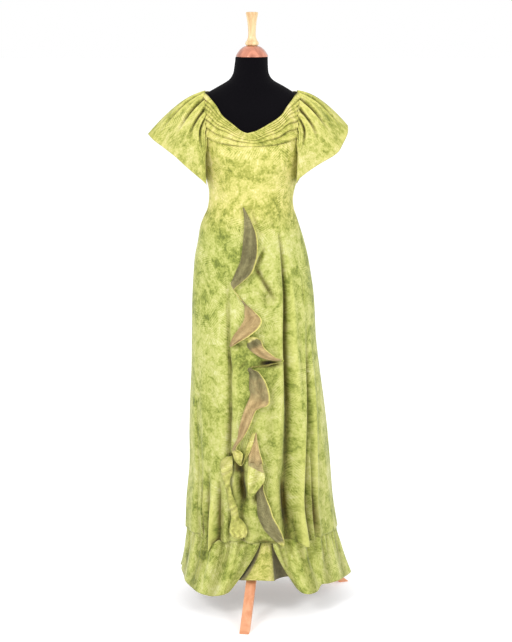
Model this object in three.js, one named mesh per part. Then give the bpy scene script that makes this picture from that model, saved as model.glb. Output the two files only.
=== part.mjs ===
import * as THREE from "three";

// A tea gown on a limbless dress form with a wooden tripod.
// Millimetres, +Z up, the gown faces -Y, +X is the wearer's left.
// While it is built, the stand's pole is the Z axis; the group is moved to its own box at the end.

// ---------- Driving sizes ----------
const WALL = 1.8;               // thickness of the cloth wall
const SEAM_GAP = 0.3;           // air between two pieces at a seam
const ROUND_SHARE = 0.86;       // a level section's mean radius for its half width
const BODICE_EASE = 4.5;        // bodice surface outside the form
const SHOULDER_LIFT = { height: 5, from: 1400, to: 1450 };  // the gown above the form's shoulders
const WAIST_BLEND = { from: 1112, to: 1165 };               // skirt below, bodice above
const HIP_Z = 1000;
const BUST = { angle: 34, spread: 17, z: 1288, height: 46, out: 9 };
const SKIRT_HEM_Z = 218;        // seam between skirt and flounce
const FLOUNCE_TOP_Z = 227;      // the flounce's upper edge, tucked inside the skirt
const BODICE_SPLIT_Z = 1250;    // above it rows of the front panels rise to their top edge
const ARMPIT_Z = 1288;
const BAND_SEAM = { angle: 52, turn: 130, share: 0.6, centreZ: 1320, rise: 20, power: 2.2, gap: 0.6 };
const BAND_PLEATS = 8;
const BAND_PLEAT_HEIGHT = 3;
const BAND_PLEAT_SLOPE = 0.3;   // a pleat's greatest height for its width
const BAND_COLUMNS = [
  0, 0.12, 0.24, 0.36, 0.48, 0.6, 0.65, 0.7, 0.75, 0.8, 0.84, 0.88, 0.92, 0.96, 0.998,
];
const SHOULDER_SEAM = { outerZ: 1457, neckZ: 1470, share: 0.87 };
const BACK_NECK_Z = 1404;
const ARMHOLE_CENTRE_Z = 1375;
const BACK_EDGE_POWER = 2.6;    // how late the back's rows rise towards their ends
const PLACKET = { z: 1128, half: 17, width: 7 };
const FOOT_REACH = 316;         // from the pole to a toe
const TURNED_SIDES = 24;

const COLOURS = {
  cloth: 0xb9bf4f,
  jersey: 0x101012,
  copperWood: 0xb5622d,
  paleWood: 0xd9b77a,
  orangeWood: 0xd98a5a,
};

// The form's level sections: centre, half width, depth in front and behind.
const FORM = [
  { z: 800, xc: 0, a: 150, bf: 84, bb: 92 },
  { z: 870, xc: 0, a: 153, bf: 88, bb: 98 },
  { z: 930, xc: -1, a: 152, bf: 90, bb: 100 },
  { z: 1000, xc: -3, a: 145, bf: 90, bb: 96 },
  { z: 1050, xc: -4, a: 138, bf: 89, bb: 89 },
  { z: 1093, xc: -5, a: 128, bf: 87, bb: 83 },
  { z: 1139, xc: -4, a: 115.5, bf: 85, bb: 78 },
  { z: 1165, xc: -3, a: 113, bf: 85, bb: 77 },
  { z: 1195, xc: -1, a: 116, bf: 91, bb: 80 },
  { z: 1250, xc: 0, a: 132, bf: 103, bb: 88 },
  { z: 1301, xc: 0, a: 145, bf: 111, bb: 97 },
  { z: 1340, xc: 0, a: 152, bf: 107, bb: 100 },
  { z: 1380, xc: 0, a: 156, bf: 97, bb: 99 },
  { z: 1410, xc: 0, a: 154, bf: 85, bb: 93 },
  { z: 1430, xc: 0, a: 147, bf: 74, bb: 84 },
  { z: 1445, xc: -1, a: 136, bf: 66, bb: 77 },
  { z: 1461, xc: -3, a: 117.5, bf: 58, bb: 70 },
  { z: 1478, xc: -2, a: 89.5, bf: 52, bb: 62 },
  { z: 1494, xc: -3, a: 62, bf: 48, bb: 55 },
  { z: 1511, xc: -3, a: 50, bf: 46, bb: 50 },
  { z: 1527, xc: -2.5, a: 47, bf: 45, bb: 46 },
  { z: 1557, xc: -1, a: 44.5, bf: 44, bb: 44 },
];

// The skirt's level sections, from the flounce seam to the waist.
const SKIRT = [
  { z: 218, xc: 27, a: 219, bf: 178, bb: 176 },
  { z: 302, xc: 22, a: 210, bf: 170, bb: 168 },
  { z: 397, xc: 22, a: 201, bf: 162, bb: 161 },
  { z: 492, xc: 18, a: 196, bf: 154, bb: 154 },
  { z: 587, xc: 14, a: 189, bf: 146, bb: 147 },
  { z: 680, xc: 10, a: 181, bf: 138, bb: 140 },
  { z: 773, xc: 5, a: 176, bf: 131, bb: 134 },
  { z: 865, xc: 3, a: 173, bf: 126, bb: 128 },
  { z: 911, xc: 2, a: 170, bf: 123, bb: 125 },
  { z: 957, xc: 0, a: 165, bf: 120, bb: 121 },
  { z: 1003, xc: -2, a: 159, bf: 115, bb: 114 },
  { z: 1048, xc: -3, a: 149, bf: 109, bb: 105 },
  { z: 1093, xc: -6, a: 138, bf: 101, bb: 94 },
  { z: 1139, xc: -4, a: 121, bf: 92, bb: 84 },
];

// Where the lengthwise seams run, in degrees round from the centre front.
const SEAMS = [
  { z: 218, right: -25, left: 24, side: 90 },
  { z: 600, right: -26, left: 26, side: 88 },
  { z: 865, right: -26, left: 28, side: 86 },
  { z: 1000, right: -28, left: 30, side: 84 },
  { z: 1065, right: -34, left: 34, side: 81 },
  { z: 1128, right: -42, left: 40, side: 79 },
  { z: 1200, right: -41, left: 41, side: 84 },
  { z: 1250, right: -38, left: 38, side: 90 },
];

// Hanging folds: where they lie across their panel at hip and hem, where they start and
// are full, how deep they are, and how wide they are at their top and at the hem (degrees).
const FOLDS = [
  { panel: "left", hip: 0, hem: 0, top: 1110, full: 600, depth: 27, narrow: 3.4, wide: 5.6 },
  { panel: "left", hip: 0.54, hem: 0.26, top: 900, full: 420, depth: 24, narrow: 2.8, wide: 4 },
  { panel: "right", hip: 0, hem: 0, top: 1010, full: 560, depth: 9, narrow: 4.5, wide: 5.5 },
  { panel: "right", hip: 0.69, hem: 0.46, top: 820, full: 330, depth: 7, narrow: 4, wide: 4.6 },
  { panel: "right", hip: 0.53, hem: 0.3, top: 470, full: 235, depth: 17, narrow: 2.6, wide: 3.2 },
  { panel: "right", hip: 0.22, hem: 0.1, top: 430, full: 235, depth: 14, narrow: 2.4, wide: 3 },
  { panel: "front", hip: 0.26, hem: 0.22, top: 560, full: 380, depth: 15, narrow: 2.8, wide: 3.4 },
  { panel: "back", hip: 0.1, hem: 0.1, top: 980, full: 520, depth: 12, narrow: 3.6, wide: 4.6 },
  { panel: "back", hip: 0.2, hem: 0.21, top: 1060, full: 600, depth: 17, narrow: 3.4, wide: 5 },
  { panel: "back", hip: 0.31, hem: 0.32, top: 900, full: 480, depth: 12, narrow: 3.2, wide: 4.4 },
  { panel: "back", hip: 0.42, hem: 0.43, top: 1080, full: 560, depth: 20, narrow: 3.4, wide: 5.2 },
  { panel: "back", hip: 0.55, hem: 0.54, top: 990, full: 500, depth: 14, narrow: 3.6, wide: 4.6 },
  { panel: "back", hip: 0.67, hem: 0.66, top: 1070, full: 620, depth: 19, narrow: 3.4, wide: 5 },
  { panel: "back", hip: 0.78, hem: 0.78, top: 920, full: 470, depth: 11, narrow: 3.2, wide: 4.4 },
  { panel: "back", hip: 0.89, hem: 0.9, top: 1010, full: 540, depth: 14, narrow: 3.4, wide: 4.8 },
];

const FOLD_RIDGE = { away: 2.1, height: 0.32 };  // beside a fold's hollow, for its width and depth

// Columns of the side front panels: how far across at bodice, hip and hem, from the princess
// seam to the side seam. The fourth meets the end of the band seam at the armhole.
const LEFT_COLUMNS = [
  { bodice: 0, hip: 0, hem: 0 },
  { bodice: 0.09, hip: 0.06, hem: 0.05 },
  { bodice: 0.18, hip: 0.15, hem: 0.1 },
  { bodice: 0.27, hip: 0.32, hem: 0.165 },
  { bodice: 0.36, hip: 0.47, hem: 0.215 },
  { bodice: 0.46, hip: 0.54, hem: 0.26 },
  { bodice: 0.56, hip: 0.6, hem: 0.305 },
  { bodice: 0.66, hip: 0.68, hem: 0.36 },
  { bodice: 0.77, hip: 0.78, hem: 0.5 },
  { bodice: 0.88, hip: 0.89, hem: 0.74 },
  { bodice: 1, hip: 1, hem: 1 },
];
const RIGHT_COLUMNS = [
  { bodice: 0, hip: 0, hem: 0 },
  { bodice: 0.09, hip: 0.11, hem: 0.05 },
  { bodice: 0.18, hip: 0.22, hem: 0.1 },
  { bodice: 0.27, hip: 0.34, hem: 0.16 },
  { bodice: 0.36, hip: 0.45, hem: 0.23 },
  { bodice: 0.46, hip: 0.53, hem: 0.3 },
  { bodice: 0.56, hip: 0.61, hem: 0.38 },
  { bodice: 0.66, hip: 0.69, hem: 0.46 },
  { bodice: 0.77, hip: 0.79, hem: 0.58 },
  { bodice: 0.88, hip: 0.89, hem: 0.78 },
  { bodice: 1, hip: 1, hem: 1 },
];
const FRONT_COLUMNS = [0, 0.05, 0.13, 0.22, 0.32, 0.44, 0.56, 0.67, 0.78, 0.87, 0.95, 1];
const BACK_COLUMN_COUNT = 31;

// Levels of the panels' rows below the bodice split, and steps of the rows above it.
const PANEL_LEVELS = [
  218, 270, 340, 430, 540, 660, 780, 880, 960, 1030, 1080,
  1111, 1128, 1145, 1175, 1210, 1250,
];
const FRONT_TOP_STEPS = [0.4, 0.75, 1];
const BACK_TURNS = [168, 156, 144, 130, 108, 85];
const BACK_ROW_SPREAD = 200;
const BACK_PATCH_STEPS = [0.2, 0.38, 0.55, 0.72, 0.87, 1];

// The front armhole seam on the gown's surface, from the shoulder round to the armpit.
const ARMHOLE = [
  { turn: 0, angle: 90, z: 1457 },
  { turn: 20, angle: 73, z: 1450 },
  { turn: 40, angle: 59, z: 1437 },
  { turn: 60, angle: 52, z: 1415 },
  { turn: 85, angle: 51, z: 1388 },
  { turn: 110, angle: 51, z: 1362 },
  { turn: 130, angle: 52, z: 1340 },
  { turn: 145, angle: 58, z: 1321 },
  { turn: 162, angle: 74, z: 1297 },
  { turn: 180, angle: 90, z: 1288 },
];

// The neckline, from the centre front to the shoulder.
const NECKLINE = [
  { s: 0, angle: 0, z: 1356 },
  { s: 0.22, angle: 9, z: 1363 },
  { s: 0.42, angle: 19, z: 1381 },
  { s: 0.6, angle: 30, z: 1402 },
  { s: 0.8, angle: 42, z: 1433 },
  { s: 0.92, angle: 61, z: 1457 },
  { s: 1, angle: 90, z: 1470 },
];

// The hems of the two sleeves round from the tip, and how each sleeve bulges between armhole
// and hem. Each x is measured outwards, on its own side.
const SLEEVE = [
  { turn: 0, rx: 289, ry: -2, rz: 1345, lx: 266, ly: -2, lz: 1368, bx: -10, by: 0, bz: 52 },
  { turn: 30, rx: 270, ry: -32, rz: 1329, lx: 263, ly: -30, lz: 1344, bx: 0, by: -16, bz: 38 },
  { turn: 60, rx: 243, ry: -52, rz: 1311, lx: 250, ly: -52, lz: 1320, bx: 8, by: -28, bz: 27 },
  { turn: 90, rx: 215, ry: -68, rz: 1293, lx: 229, ly: -66, lz: 1295, bx: 8, by: -36, bz: 20 },
  { turn: 120, rx: 180, ry: -82, rz: 1260, lx: 179, ly: -79, lz: 1264, bx: -8, by: -42, bz: 14 },
  { turn: 150, rx: 143, ry: -84, rz: 1224, lx: 138, ly: -80, lz: 1233, bx: -20, by: -42, bz: 8 },
  { turn: 170, rx: 128, ry: -62, rz: 1206, lx: 125, ly: -60, lz: 1212, bx: -8, by: -30, bz: 0 },
  { turn: 190, rx: 142, ry: 0, rz: 1212, lx: 136, ly: 0, lz: 1217, bx: 12, by: 0, bz: -4 },
  { turn: 210, rx: 152, ry: 52, rz: 1222, lx: 147, ly: 50, lz: 1226, bx: 12, by: 14, bz: 0 },
  { turn: 240, rx: 188, ry: 72, rz: 1258, lx: 184, ly: 70, lz: 1262, bx: 12, by: 28, bz: 14 },
  { turn: 270, rx: 216, ry: 66, rz: 1290, lx: 225, ly: 64, lz: 1294, bx: 10, by: 32, bz: 20 },
  { turn: 300, rx: 246, ry: 50, rz: 1313, lx: 248, ly: 48, lz: 1322, bx: 6, by: 28, bz: 28 },
  { turn: 330, rx: 272, ry: 28, rz: 1330, lx: 260, ly: 26, lz: 1346, bx: -2, by: 16, bz: 38 },
  { turn: 360, rx: 289, ry: -2, rz: 1345, lx: 266, ly: -2, lz: 1368, bx: -10, by: 0, bz: 52 },
];

// Pleats of a sleeve head: grooves from the shoulder that drift round as they run out.
const SLEEVE_PLEATS = [
  { turn: 12, drift: 14, depth: 8, width: 6, reach: 0.75 },
  { turn: 30, drift: 34, depth: 8, width: 7, reach: 0.6 },
  { turn: 52, drift: 50, depth: 7, width: 8, reach: 0.5 },
  { turn: 78, drift: 56, depth: 7, width: 8, reach: 0.42 },
  { turn: 108, drift: 50, depth: 6, width: 8, reach: 0.34 },
  { turn: 346, drift: -14, depth: 7, width: 6, reach: 0.7 },
  { turn: 326, drift: -34, depth: 8, width: 7, reach: 0.6 },
  { turn: 300, drift: -48, depth: 6, width: 8, reach: 0.5 },
  { turn: 272, drift: -50, depth: 6, width: 8, reach: 0.4 },
];
const NORMAL_STEP = { angle: 0.4, z: 0.8, turn: 0.5, share: 0.01 };  // for finding a direction
// A sleeve's seam lies inside the armhole's edge, and stands further out under the arm.
const SLEEVE_SET = { inwards: 0.95, outwards: 0.25, under: 1.2, from: 110, to: 160 };
const SLEEVE_CONTROL = 0.4;     // where between armhole and hem a sleeve bulges
const SLEEVE_PLEAT_FADE = { start: 0.07, hold: 0.45 };
const SLEEVE_COLUMN_COUNT = 50;
const SLEEVE_ROWS = [0, 0.06, 0.14, 0.24, 0.38, 0.56, 0.78, 1];

// The cascade down the centre front, from its top to the hem: the edge that lies against the
// skirt (sx, sz) and the free edge (ex, ez), each with its height off the skirt (so, eo).
const CASCADE = [
  { sx: -16, sz: 1156, so: 3, ex: -9, ez: 1150, eo: 3.5 },
  { sx: -25, sz: 1131, so: 4, ex: -3, ez: 1129, eo: 8 },
  { sx: -25, sz: 1102, so: 5, ex: 8, ez: 1092, eo: 13 },
  { sx: -30, sz: 1064, so: 6, ex: 16, ez: 1057, eo: 17 },
  { sx: -33, sz: 1020, so: 6, ex: 11, ez: 1006, eo: 20 },
  { sx: -41, sz: 976, so: 6, ex: -11, ez: 963, eo: 19 },
  { sx: -52, sz: 943, so: 7, ex: -36, ez: 928, eo: 15 },
  { sx: -36, sz: 912, so: 5, ex: -6, ez: 897, eo: 14 },
  { sx: -25, sz: 877, so: 5, ex: 28, ez: 868, eo: 17 },
  { sx: -33, sz: 844, so: 7, ex: 28, ez: 829, eo: 23 },
  { sx: -45, sz: 808, so: 8, ex: -14, ez: 795, eo: 20 },
  { sx: -48, sz: 784, so: 8, ex: -22, ez: 775, eo: 16 },
  { sx: -20, sz: 753, so: 5, ex: 38, ez: 745, eo: 18 },
  { sx: -4, sz: 726, so: 5, ex: 74, ez: 720, eo: 18 },
  { sx: 2, sz: 700, so: 5, ex: 42, ez: 690, eo: 14 },
  { sx: -3, sz: 672, so: 6, ex: 44, ez: 660, eo: 17 },
  { sx: -8, sz: 636, so: 7, ex: 37, ez: 613, eo: 21 },
  { sx: -20, sz: 603, so: 8, ex: 8, ez: 587, eo: 20 },
  { sx: -36, sz: 545, so: 9, ex: -13, ez: 536, eo: 18 },
  { sx: -47, sz: 494, so: 8, ex: -24, ez: 486, eo: 16 },
  { sx: -24, sz: 460, so: 5, ex: 14, ez: 452, eo: 15 },
  { sx: -3, sz: 424, so: 6, ex: 37, ez: 414, eo: 18 },
  { sx: -5, sz: 377, so: 5, ex: 16, ez: 370, eo: 13 },
  { sx: 5, sz: 326, so: 5, ex: 32, ez: 319, eo: 15 },
  { sx: 22, sz: 270, so: 6, ex: 54, ez: 259, eo: 18 },
  { sx: 45, sz: 228, so: 7, ex: 78, ez: 216, eo: 16 },
  { sx: 64, sz: 199, so: 7, ex: 89, ez: 182, eo: 12 },
];
const CASCADE_BULGE = 7;        // how far the cloth swells between its two edges
const CASCADE_STEP = 0.5;
const CASCADE_ACROSS = [0, 0.28, 0.64, 1];

// The flounce's hem: the place on the skirt seam, and the point on the hem below it.
const FLOUNCE_RIGHT_FRONT = [
  { angle: -90, x: -205, y: 4, z: 88 },
  { angle: -72, x: -197, y: -66, z: 81 },
  { angle: -56, x: -178, y: -128, z: 75 },
  { angle: -43, x: -148, y: -176, z: 70 },
  { angle: -31, x: -112, y: -196, z: 68 },
  { angle: -18, x: -78, y: -190, z: 70 },
  { angle: -7, x: -66, y: -184, z: 73 },
  { angle: 1, x: -58, y: -172, z: 77 },
];
const FLOUNCE_LEFT_FRONT = [
  { angle: 6, x: 121, y: -158, z: 79 },
  { angle: 14, x: 134, y: -176, z: 74 },
  { angle: 24, x: 158, y: -186, z: 70 },
  { angle: 34, x: 184, y: -172, z: 73 },
  { angle: 43, x: 196, y: -134, z: 80 },
  { angle: 53, x: 220, y: -120, z: 79 },
  { angle: 70, x: 262, y: -66, z: 77 },
  { angle: 90, x: 287, y: 0, z: 78 },
];
const FLOUNCE_UNDER = [
  { angle: -10, x: -76, y: -84, z: 90 },
  { angle: -7, x: -58, y: -96, z: 90 },
  { angle: -4.5, x: -42, y: -144, z: 99 },
  { angle: -2, x: -27, y: -184, z: 109 },
  { angle: 1.5, x: 8, y: -203, z: 114 },
  { angle: 5, x: 40, y: -200, z: 113 },
  { angle: 8, x: 62, y: -176, z: 106 },
  { angle: 10.5, x: 72, y: -136, z: 97 },
  { angle: 13, x: 92, y: -98, z: 90 },
  { angle: 16, x: 118, y: -88, z: 89 },
];
// The waves of the flounce behind: how far each crest and hollow stands from the mean hem.
const FLOUNCE_BACK = { xc: 41, halfWidth: 246, depth: 196, z: 80, dip: 0.2, first: 104, step: 16.3 };
const FLOUNCE_BACK_WAVES = [-16, 20, -20, 18, -22, 22, -18, 26, -20, 14];
// Behind, the hem rides up where it crosses a leg of the stand.
const HEM_OVER_LEG = { angle: 218, lift: 22, spread: 12 };
const FLOUNCE_TUCK = WALL + 2.8;  // how far inside the skirt's surface the flounce's top lies
const UNDER_TUCK = 3 * FLOUNCE_TUCK;
const FLOUNCE_STRAIGHT = 0.1;     // the share of its height that hangs straight before it flares
const FLOUNCE_FLARE = { outer: 1.25, under: 1.9 };
const FLOUNCE_ROWS = [0, 0.09, 0.22, 0.4, 0.6, 0.8, 1];
const UNDER_COLUMN_STEP = 1.45;
const COLUMN_APART = 1;
const SAME_ANGLE = 0.01;

const TORSO_LEVELS = [
  800, 870, 940, 1010, 1070, 1120, 1160, 1200, 1235, 1270, 1300, 1335, 1370,
  1400, 1425, 1441, 1453, 1465, 1478, 1488, 1498, 1511, 1530, 1557,
];
const TORSO_COLUMNS = 34;

// Turned wood, as radius and height from bottom to top.
const NECK_CAP = [
  { r: 44, z: 1557.3 }, { r: 45, z: 1560 }, { r: 43.5, z: 1563 }, { r: 40, z: 1569 },
  { r: 34, z: 1577 }, { r: 26, z: 1584 }, { r: 18, z: 1587.7 },
];
const FINIAL = [
  { r: 16, z: 1588 }, { r: 19, z: 1592 }, { r: 18.5, z: 1597 }, { r: 14, z: 1603 },
  { r: 11, z: 1611 }, { r: 10.4, z: 1622 }, { r: 11, z: 1636 }, { r: 12.6, z: 1652 },
  { r: 15, z: 1666 }, { r: 17.2, z: 1675 }, { r: 16.6, z: 1679 }, { r: 12, z: 1680 },
];
const POLE = { radius: 14, bottom: 265.3, top: 799.7 };
const HUB = { face: 30, corner: 34, bottom: 212, top: 265 };
const LEG = { width: 27, sole: 30, slope: 0.82, start: 31.4, side: 20 };
const LEGS = [
  { name: "leg_front", angle: -94 },
  { name: "leg_back_left", angle: 26 },
  { name: "leg_back_right", angle: 124 },
];

const DEGREES = Math.PI / 180;
const group = new THREE.Group();

// ---------- Tables and small helpers ----------

/** Smooth value of one named column of a table, at a place along its key column. */
function along(rows, key, place, column) {
  const top = rows.length - 1;
  const at = THREE.MathUtils.clamp(place, rows[0][key], rows[top][key]);
  let i = 0;
  while (i < top - 1 && at > rows[i + 1][key]) i += 1;
  const slope = (k) => {
    const before = rows[Math.max(k - 1, 0)];
    const after = rows[Math.min(k + 1, top)];
    return (after[column] - before[column]) / (after[key] - before[key]);
  };
  const span = rows[i + 1][key] - rows[i][key];
  const t = (at - rows[i][key]) / span;
  const t2 = t * t;
  const t3 = t2 * t;
  return (2 * t3 - 3 * t2 + 1) * rows[i][column] + (t3 - 2 * t2 + t) * span * slope(i)
    + (3 * t2 - 2 * t3) * rows[i + 1][column] + (t3 - t2) * span * slope(i + 1);
}

function smooth(value, from, to) {
  return THREE.MathUtils.smoothstep(value, from, to);
}

function range(count) {
  return [...Array(count).keys()];
}

/** Numbers from one value to another, both included, in equal steps no longer than a limit. */
function steps(from, to, limit) {
  const count = Math.max(1, Math.ceil(Math.abs(to - from) / limit));
  return range(count + 1).map((i) => from + ((to - from) * i) / count);
}

function wrapAngle(angle) {
  return angle - 360 * Math.round(angle / 360);
}

// ---------- The body's surfaces ----------

function section(rows, z) {
  return {
    xc: along(rows, "z", z, "xc"),
    a: along(rows, "z", z, "a"),
    bf: along(rows, "z", z, "bf"),
    bb: along(rows, "z", z, "bb"),
  };
}

function sectionPoint(shape, angle, out, z) {
  const side = Math.sin(angle * DEGREES);
  const ahead = Math.cos(angle * DEGREES);
  const depth = ahead > 0 ? shape.bf : shape.bb;
  return new THREE.Vector3(shape.xc + (shape.a + out) * side, -(depth + out) * ahead, z);
}

function bustRelief(angle, z) {
  const across = (Math.abs(wrapAngle(angle)) - BUST.angle) / BUST.spread;
  const up = (z - BUST.z) / BUST.height;
  return BUST.out * Math.exp(-across * across - up * up);
}

function formPoint(angle, z) {
  return sectionPoint(section(FORM, z), angle, bustRelief(angle, z), z);
}

/** The gown's plain section at a height: the form's, eased, above the waist and the skirt's below. */
function gownSection(z) {
  const lift = SHOULDER_LIFT.height * smooth(z, SHOULDER_LIFT.from, SHOULDER_LIFT.to);
  const bodice = section(FORM, z - lift);
  const skirt = section(SKIRT, z);
  const upper = smooth(z, WAIST_BLEND.from, WAIST_BLEND.to);
  const mix = (low, high) => low + (high + BODICE_EASE - low) * upper;
  return {
    xc: skirt.xc + (bodice.xc - skirt.xc) * upper,
    a: mix(skirt.a, bodice.a),
    bf: mix(skirt.bf, bodice.bf),
    bb: mix(skirt.bb, bodice.bb),
  };
}

/** The two seams beside a panel at a height. */
function panelEdges(panel, z) {
  const side = along(SEAMS, "z", z, "side");
  const right = along(SEAMS, "z", z, "right");
  const left = along(SEAMS, "z", z, "left");
  const edges = {
    front: [right, left],
    left: [left, side],
    right: [right, -side],
    back: [side, 360 - side],
  };
  return edges[panel];
}

function foldCentre(fold, z) {
  const across = fold.hem + (fold.hip - fold.hem) * smooth(z, SKIRT_HEM_Z, HIP_Z);
  const [from, to] = panelEdges(fold.panel, z);
  return from + (to - from) * across;
}

/** One fold's cross section: a hollow with a lower ridge on each side. */
function foldShape(t) {
  const ridge = Math.abs(t) - FOLD_RIDGE.away;
  return FOLD_RIDGE.height * Math.exp(-ridge * ridge) - Math.exp(-t * t);
}

function foldRelief(angle, z) {
  let relief = 0;
  for (const fold of FOLDS) {
    const depth = fold.depth * smooth(-z, -fold.top, -fold.full);
    if (depth > 0) {
      const width = fold.wide + (fold.narrow - fold.wide) * smooth(z, SKIRT_HEM_Z, fold.top);
      relief += depth * foldShape(wrapAngle(angle - foldCentre(fold, z)) / width);
    }
  }
  return relief;
}

function gownPoint(angle, z, out = 0) {
  return sectionPoint(gownSection(z), angle, bustRelief(angle, z) + foldRelief(angle, z) + out, z);
}

function gownNormal(angle, z) {
  return surfaceNormal(gownPoint, angle, z, NORMAL_STEP.angle, NORMAL_STEP.z, 1);
}

// ---------- Closed solids from grids ----------

function addMesh(name, colour, positions, indices, roughness = 0.6) {
  const geometry = new THREE.BufferGeometry();
  geometry.setAttribute("position", new THREE.Float32BufferAttribute(positions, 3));
  geometry.setIndex(indices);
  geometry.computeVertexNormals();
  addGeometry(name, colour, geometry, roughness);
}

function addGeometry(name, colour, geometry, roughness = 0.5) {
  const material = new THREE.MeshStandardMaterial({ color: colour, roughness, metalness: 0 });
  const mesh = new THREE.Mesh(geometry, material);
  mesh.name = name;
  group.add(mesh);
  return mesh;
}

/** The direction square to surface(p, q); facing 1 or -1 picks its side. */
function surfaceNormal(surface, p, q, stepP, stepQ, facing) {
  const dp = surface(p + stepP, q).sub(surface(p - stepP, q));
  const dq = surface(p, q + stepQ).sub(surface(p, q - stepQ));
  return dp.cross(dq).normalize().multiplyScalar(facing);
}

/**
 * A closed wall from two matching grids of points, outer and inner. With round set, the
 * columns close on themselves.
 */
function addWall(name, outer, inner, round = false) {
  const rows = outer.length;
  const columns = outer[0].length;
  const positions = [];
  for (const grid of [outer, inner]) {
    for (const row of grid) {
      for (const point of row) positions.push(point.x, point.y, point.z);
    }
  }
  const indices = [];
  const at = (layer, i, j) => layer * rows * columns + i * columns + (j % columns);
  const quad = (a, b, c, d) => indices.push(a, b, c, a, c, d);
  const lastColumn = round ? columns : columns - 1;
  for (const i of range(rows - 1)) {
    for (const j of range(lastColumn)) {
      quad(at(0, i, j), at(0, i, j + 1), at(0, i + 1, j + 1), at(0, i + 1, j));
      quad(at(1, i, j), at(1, i + 1, j), at(1, i + 1, j + 1), at(1, i, j + 1));
    }
  }
  for (const j of range(lastColumn)) {
    quad(at(0, 0, j), at(1, 0, j), at(1, 0, j + 1), at(0, 0, j + 1));
    quad(at(0, rows - 1, j), at(0, rows - 1, j + 1), at(1, rows - 1, j + 1), at(1, rows - 1, j));
  }
  if (!round) {
    for (const i of range(rows - 1)) {
      quad(at(0, i, 0), at(0, i + 1, 0), at(1, i + 1, 0), at(1, i, 0));
      quad(at(0, i, lastColumn), at(1, i, lastColumn), at(1, i + 1, lastColumn), at(0, i + 1, lastColumn));
    }
  }
  addMesh(name, COLOURS.cloth, positions, indices);
}

/** A cloth wall over a grid of [angle, z] places on the gown, with rows from low to high. */
function addPanel(name, places, raise = () => 0) {
  const layer = (distance) => places.map((row, i) => row.map(([angle, z], j) => {
    return gownPoint(angle, z).addScaledVector(gownNormal(angle, z), distance(i, j));
  }));
  addWall(name, layer(raise), layer(() => -WALL));
}

// ---------- Bodice and skirt panels ----------

/** Half a seam's gap, as degrees round the gown at a height. */
function halfGapAngle(gap, z) {
  return gap / 2 / (gownSection(z).a * ROUND_SHARE * DEGREES);
}

/** The right side seam stands open at the waist, as a placket. */
function sideGap(panel, z) {
  if (panel === "left") return SEAM_GAP;
  const t = (z - PLACKET.z) / PLACKET.half;
  return SEAM_GAP + PLACKET.width * Math.max(0, 1 - t * t);
}

function armholeTurnAt(angle) {
  let low = 130;
  let high = 180;
  for (const _ of range(30)) {
    const middle = (low + high) / 2;
    if (along(ARMHOLE, "turn", middle, "angle") < angle) low = middle;
    else high = middle;
  }
  return (low + high) / 2;
}

function bandSeamZ(angle) {
  const part = Math.abs(angle) / BAND_SEAM.angle;
  return BAND_SEAM.centreZ + BAND_SEAM.rise * part ** BAND_SEAM.power;
}

/** The upper edge of the front panels: the band seam, then the armhole. */
function frontTopZ(angle) {
  const across = Math.abs(angle);
  if (across <= BAND_SEAM.angle) return bandSeamZ(across) - BAND_SEAM.gap;
  return along(ARMHOLE, "turn", armholeTurnAt(across), "z");
}

/** The places of a front panel whose columns lie at across(j, z) between its two edges. */
function frontPlaces(panel, columnCount, across) {
  const place = (j, z, row) => {
    const [from, to] = panelEdges(panel, z);
    const direction = Math.sign(to - from);
    const first = halfGapAngle(SEAM_GAP, z);
    const last = panel === "front" ? first : halfGapAngle(sideGap(panel, z), z);
    const start = from + direction * first;
    const end = to - direction * last;
    return [start + (end - start) * across(j, z), row];
  };
  const low = PANEL_LEVELS.map((z) => range(columnCount).map((j) => place(j, z, z)));
  const high = FRONT_TOP_STEPS.map((step) => range(columnCount).map((j) => {
    const [angle] = place(j, BODICE_SPLIT_Z, 0);
    return [angle, BODICE_SPLIT_Z + (frontTopZ(angle) - BODICE_SPLIT_Z) * step];
  }));
  return [...low, ...high];
}

/** How far across its panel a column lies at a height, from its places at three levels. */
function columnAcross(column, z) {
  const skirt = column.hem + (column.hip - column.hem) * smooth(z, SKIRT_HEM_Z, HIP_Z);
  return skirt + (column.bodice - skirt) * smooth(z, HIP_Z, BODICE_SPLIT_Z);
}

function addFrontPanels() {
  addPanel("front_centre", frontPlaces("front", FRONT_COLUMNS.length, (j) => FRONT_COLUMNS[j]));
  addPanel("side_front_left", frontPlaces("left", LEFT_COLUMNS.length,
    (j, z) => columnAcross(LEFT_COLUMNS[j], z)));
  const right = frontPlaces("right", RIGHT_COLUMNS.length, (j, z) => columnAcross(RIGHT_COLUMNS[j], z));
  addPanel("side_front_right", right.map((row) => row.reverse()));
}

/** The back in one piece: level rows, rows narrowed by the armholes, then a patch to the neck. */
function addBack() {
  const part = (j) => (2 * j) / (BACK_COLUMN_COUNT - 1) - 1;
  const low = PANEL_LEVELS.map((z) => range(BACK_COLUMN_COUNT).map((j) => {
    const half = 180 - along(SEAMS, "z", z, "side");
    const open = part(j) > 0 ? halfGapAngle(sideGap("right", z), z) : halfGapAngle(SEAM_GAP, z);
    return [180 + part(j) * (half - open), z];
  }));
  const armpit = range(BACK_COLUMN_COUNT).map((j) => {
    return [180 + part(j) * (90 - halfGapAngle(SEAM_GAP, ARMPIT_Z)), ARMPIT_Z];
  });
  const middle = BACK_TURNS.map((turn) => range(BACK_COLUMN_COUNT).map((j) => {
    const { half, z } = backRow(turn, Math.abs(part(j)));
    return [180 + part(j) * half, z];
  }));
  const high = BACK_PATCH_STEPS.map((v) => range(BACK_COLUMN_COUNT).map((j) => {
    const { angle, z } = backPlace(Math.abs(part(j)), v);
    return [180 + Math.sign(part(j)) * angle, z];
  }));
  addPanel("back", [...low, armpit, ...middle, ...high]);
}

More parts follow.
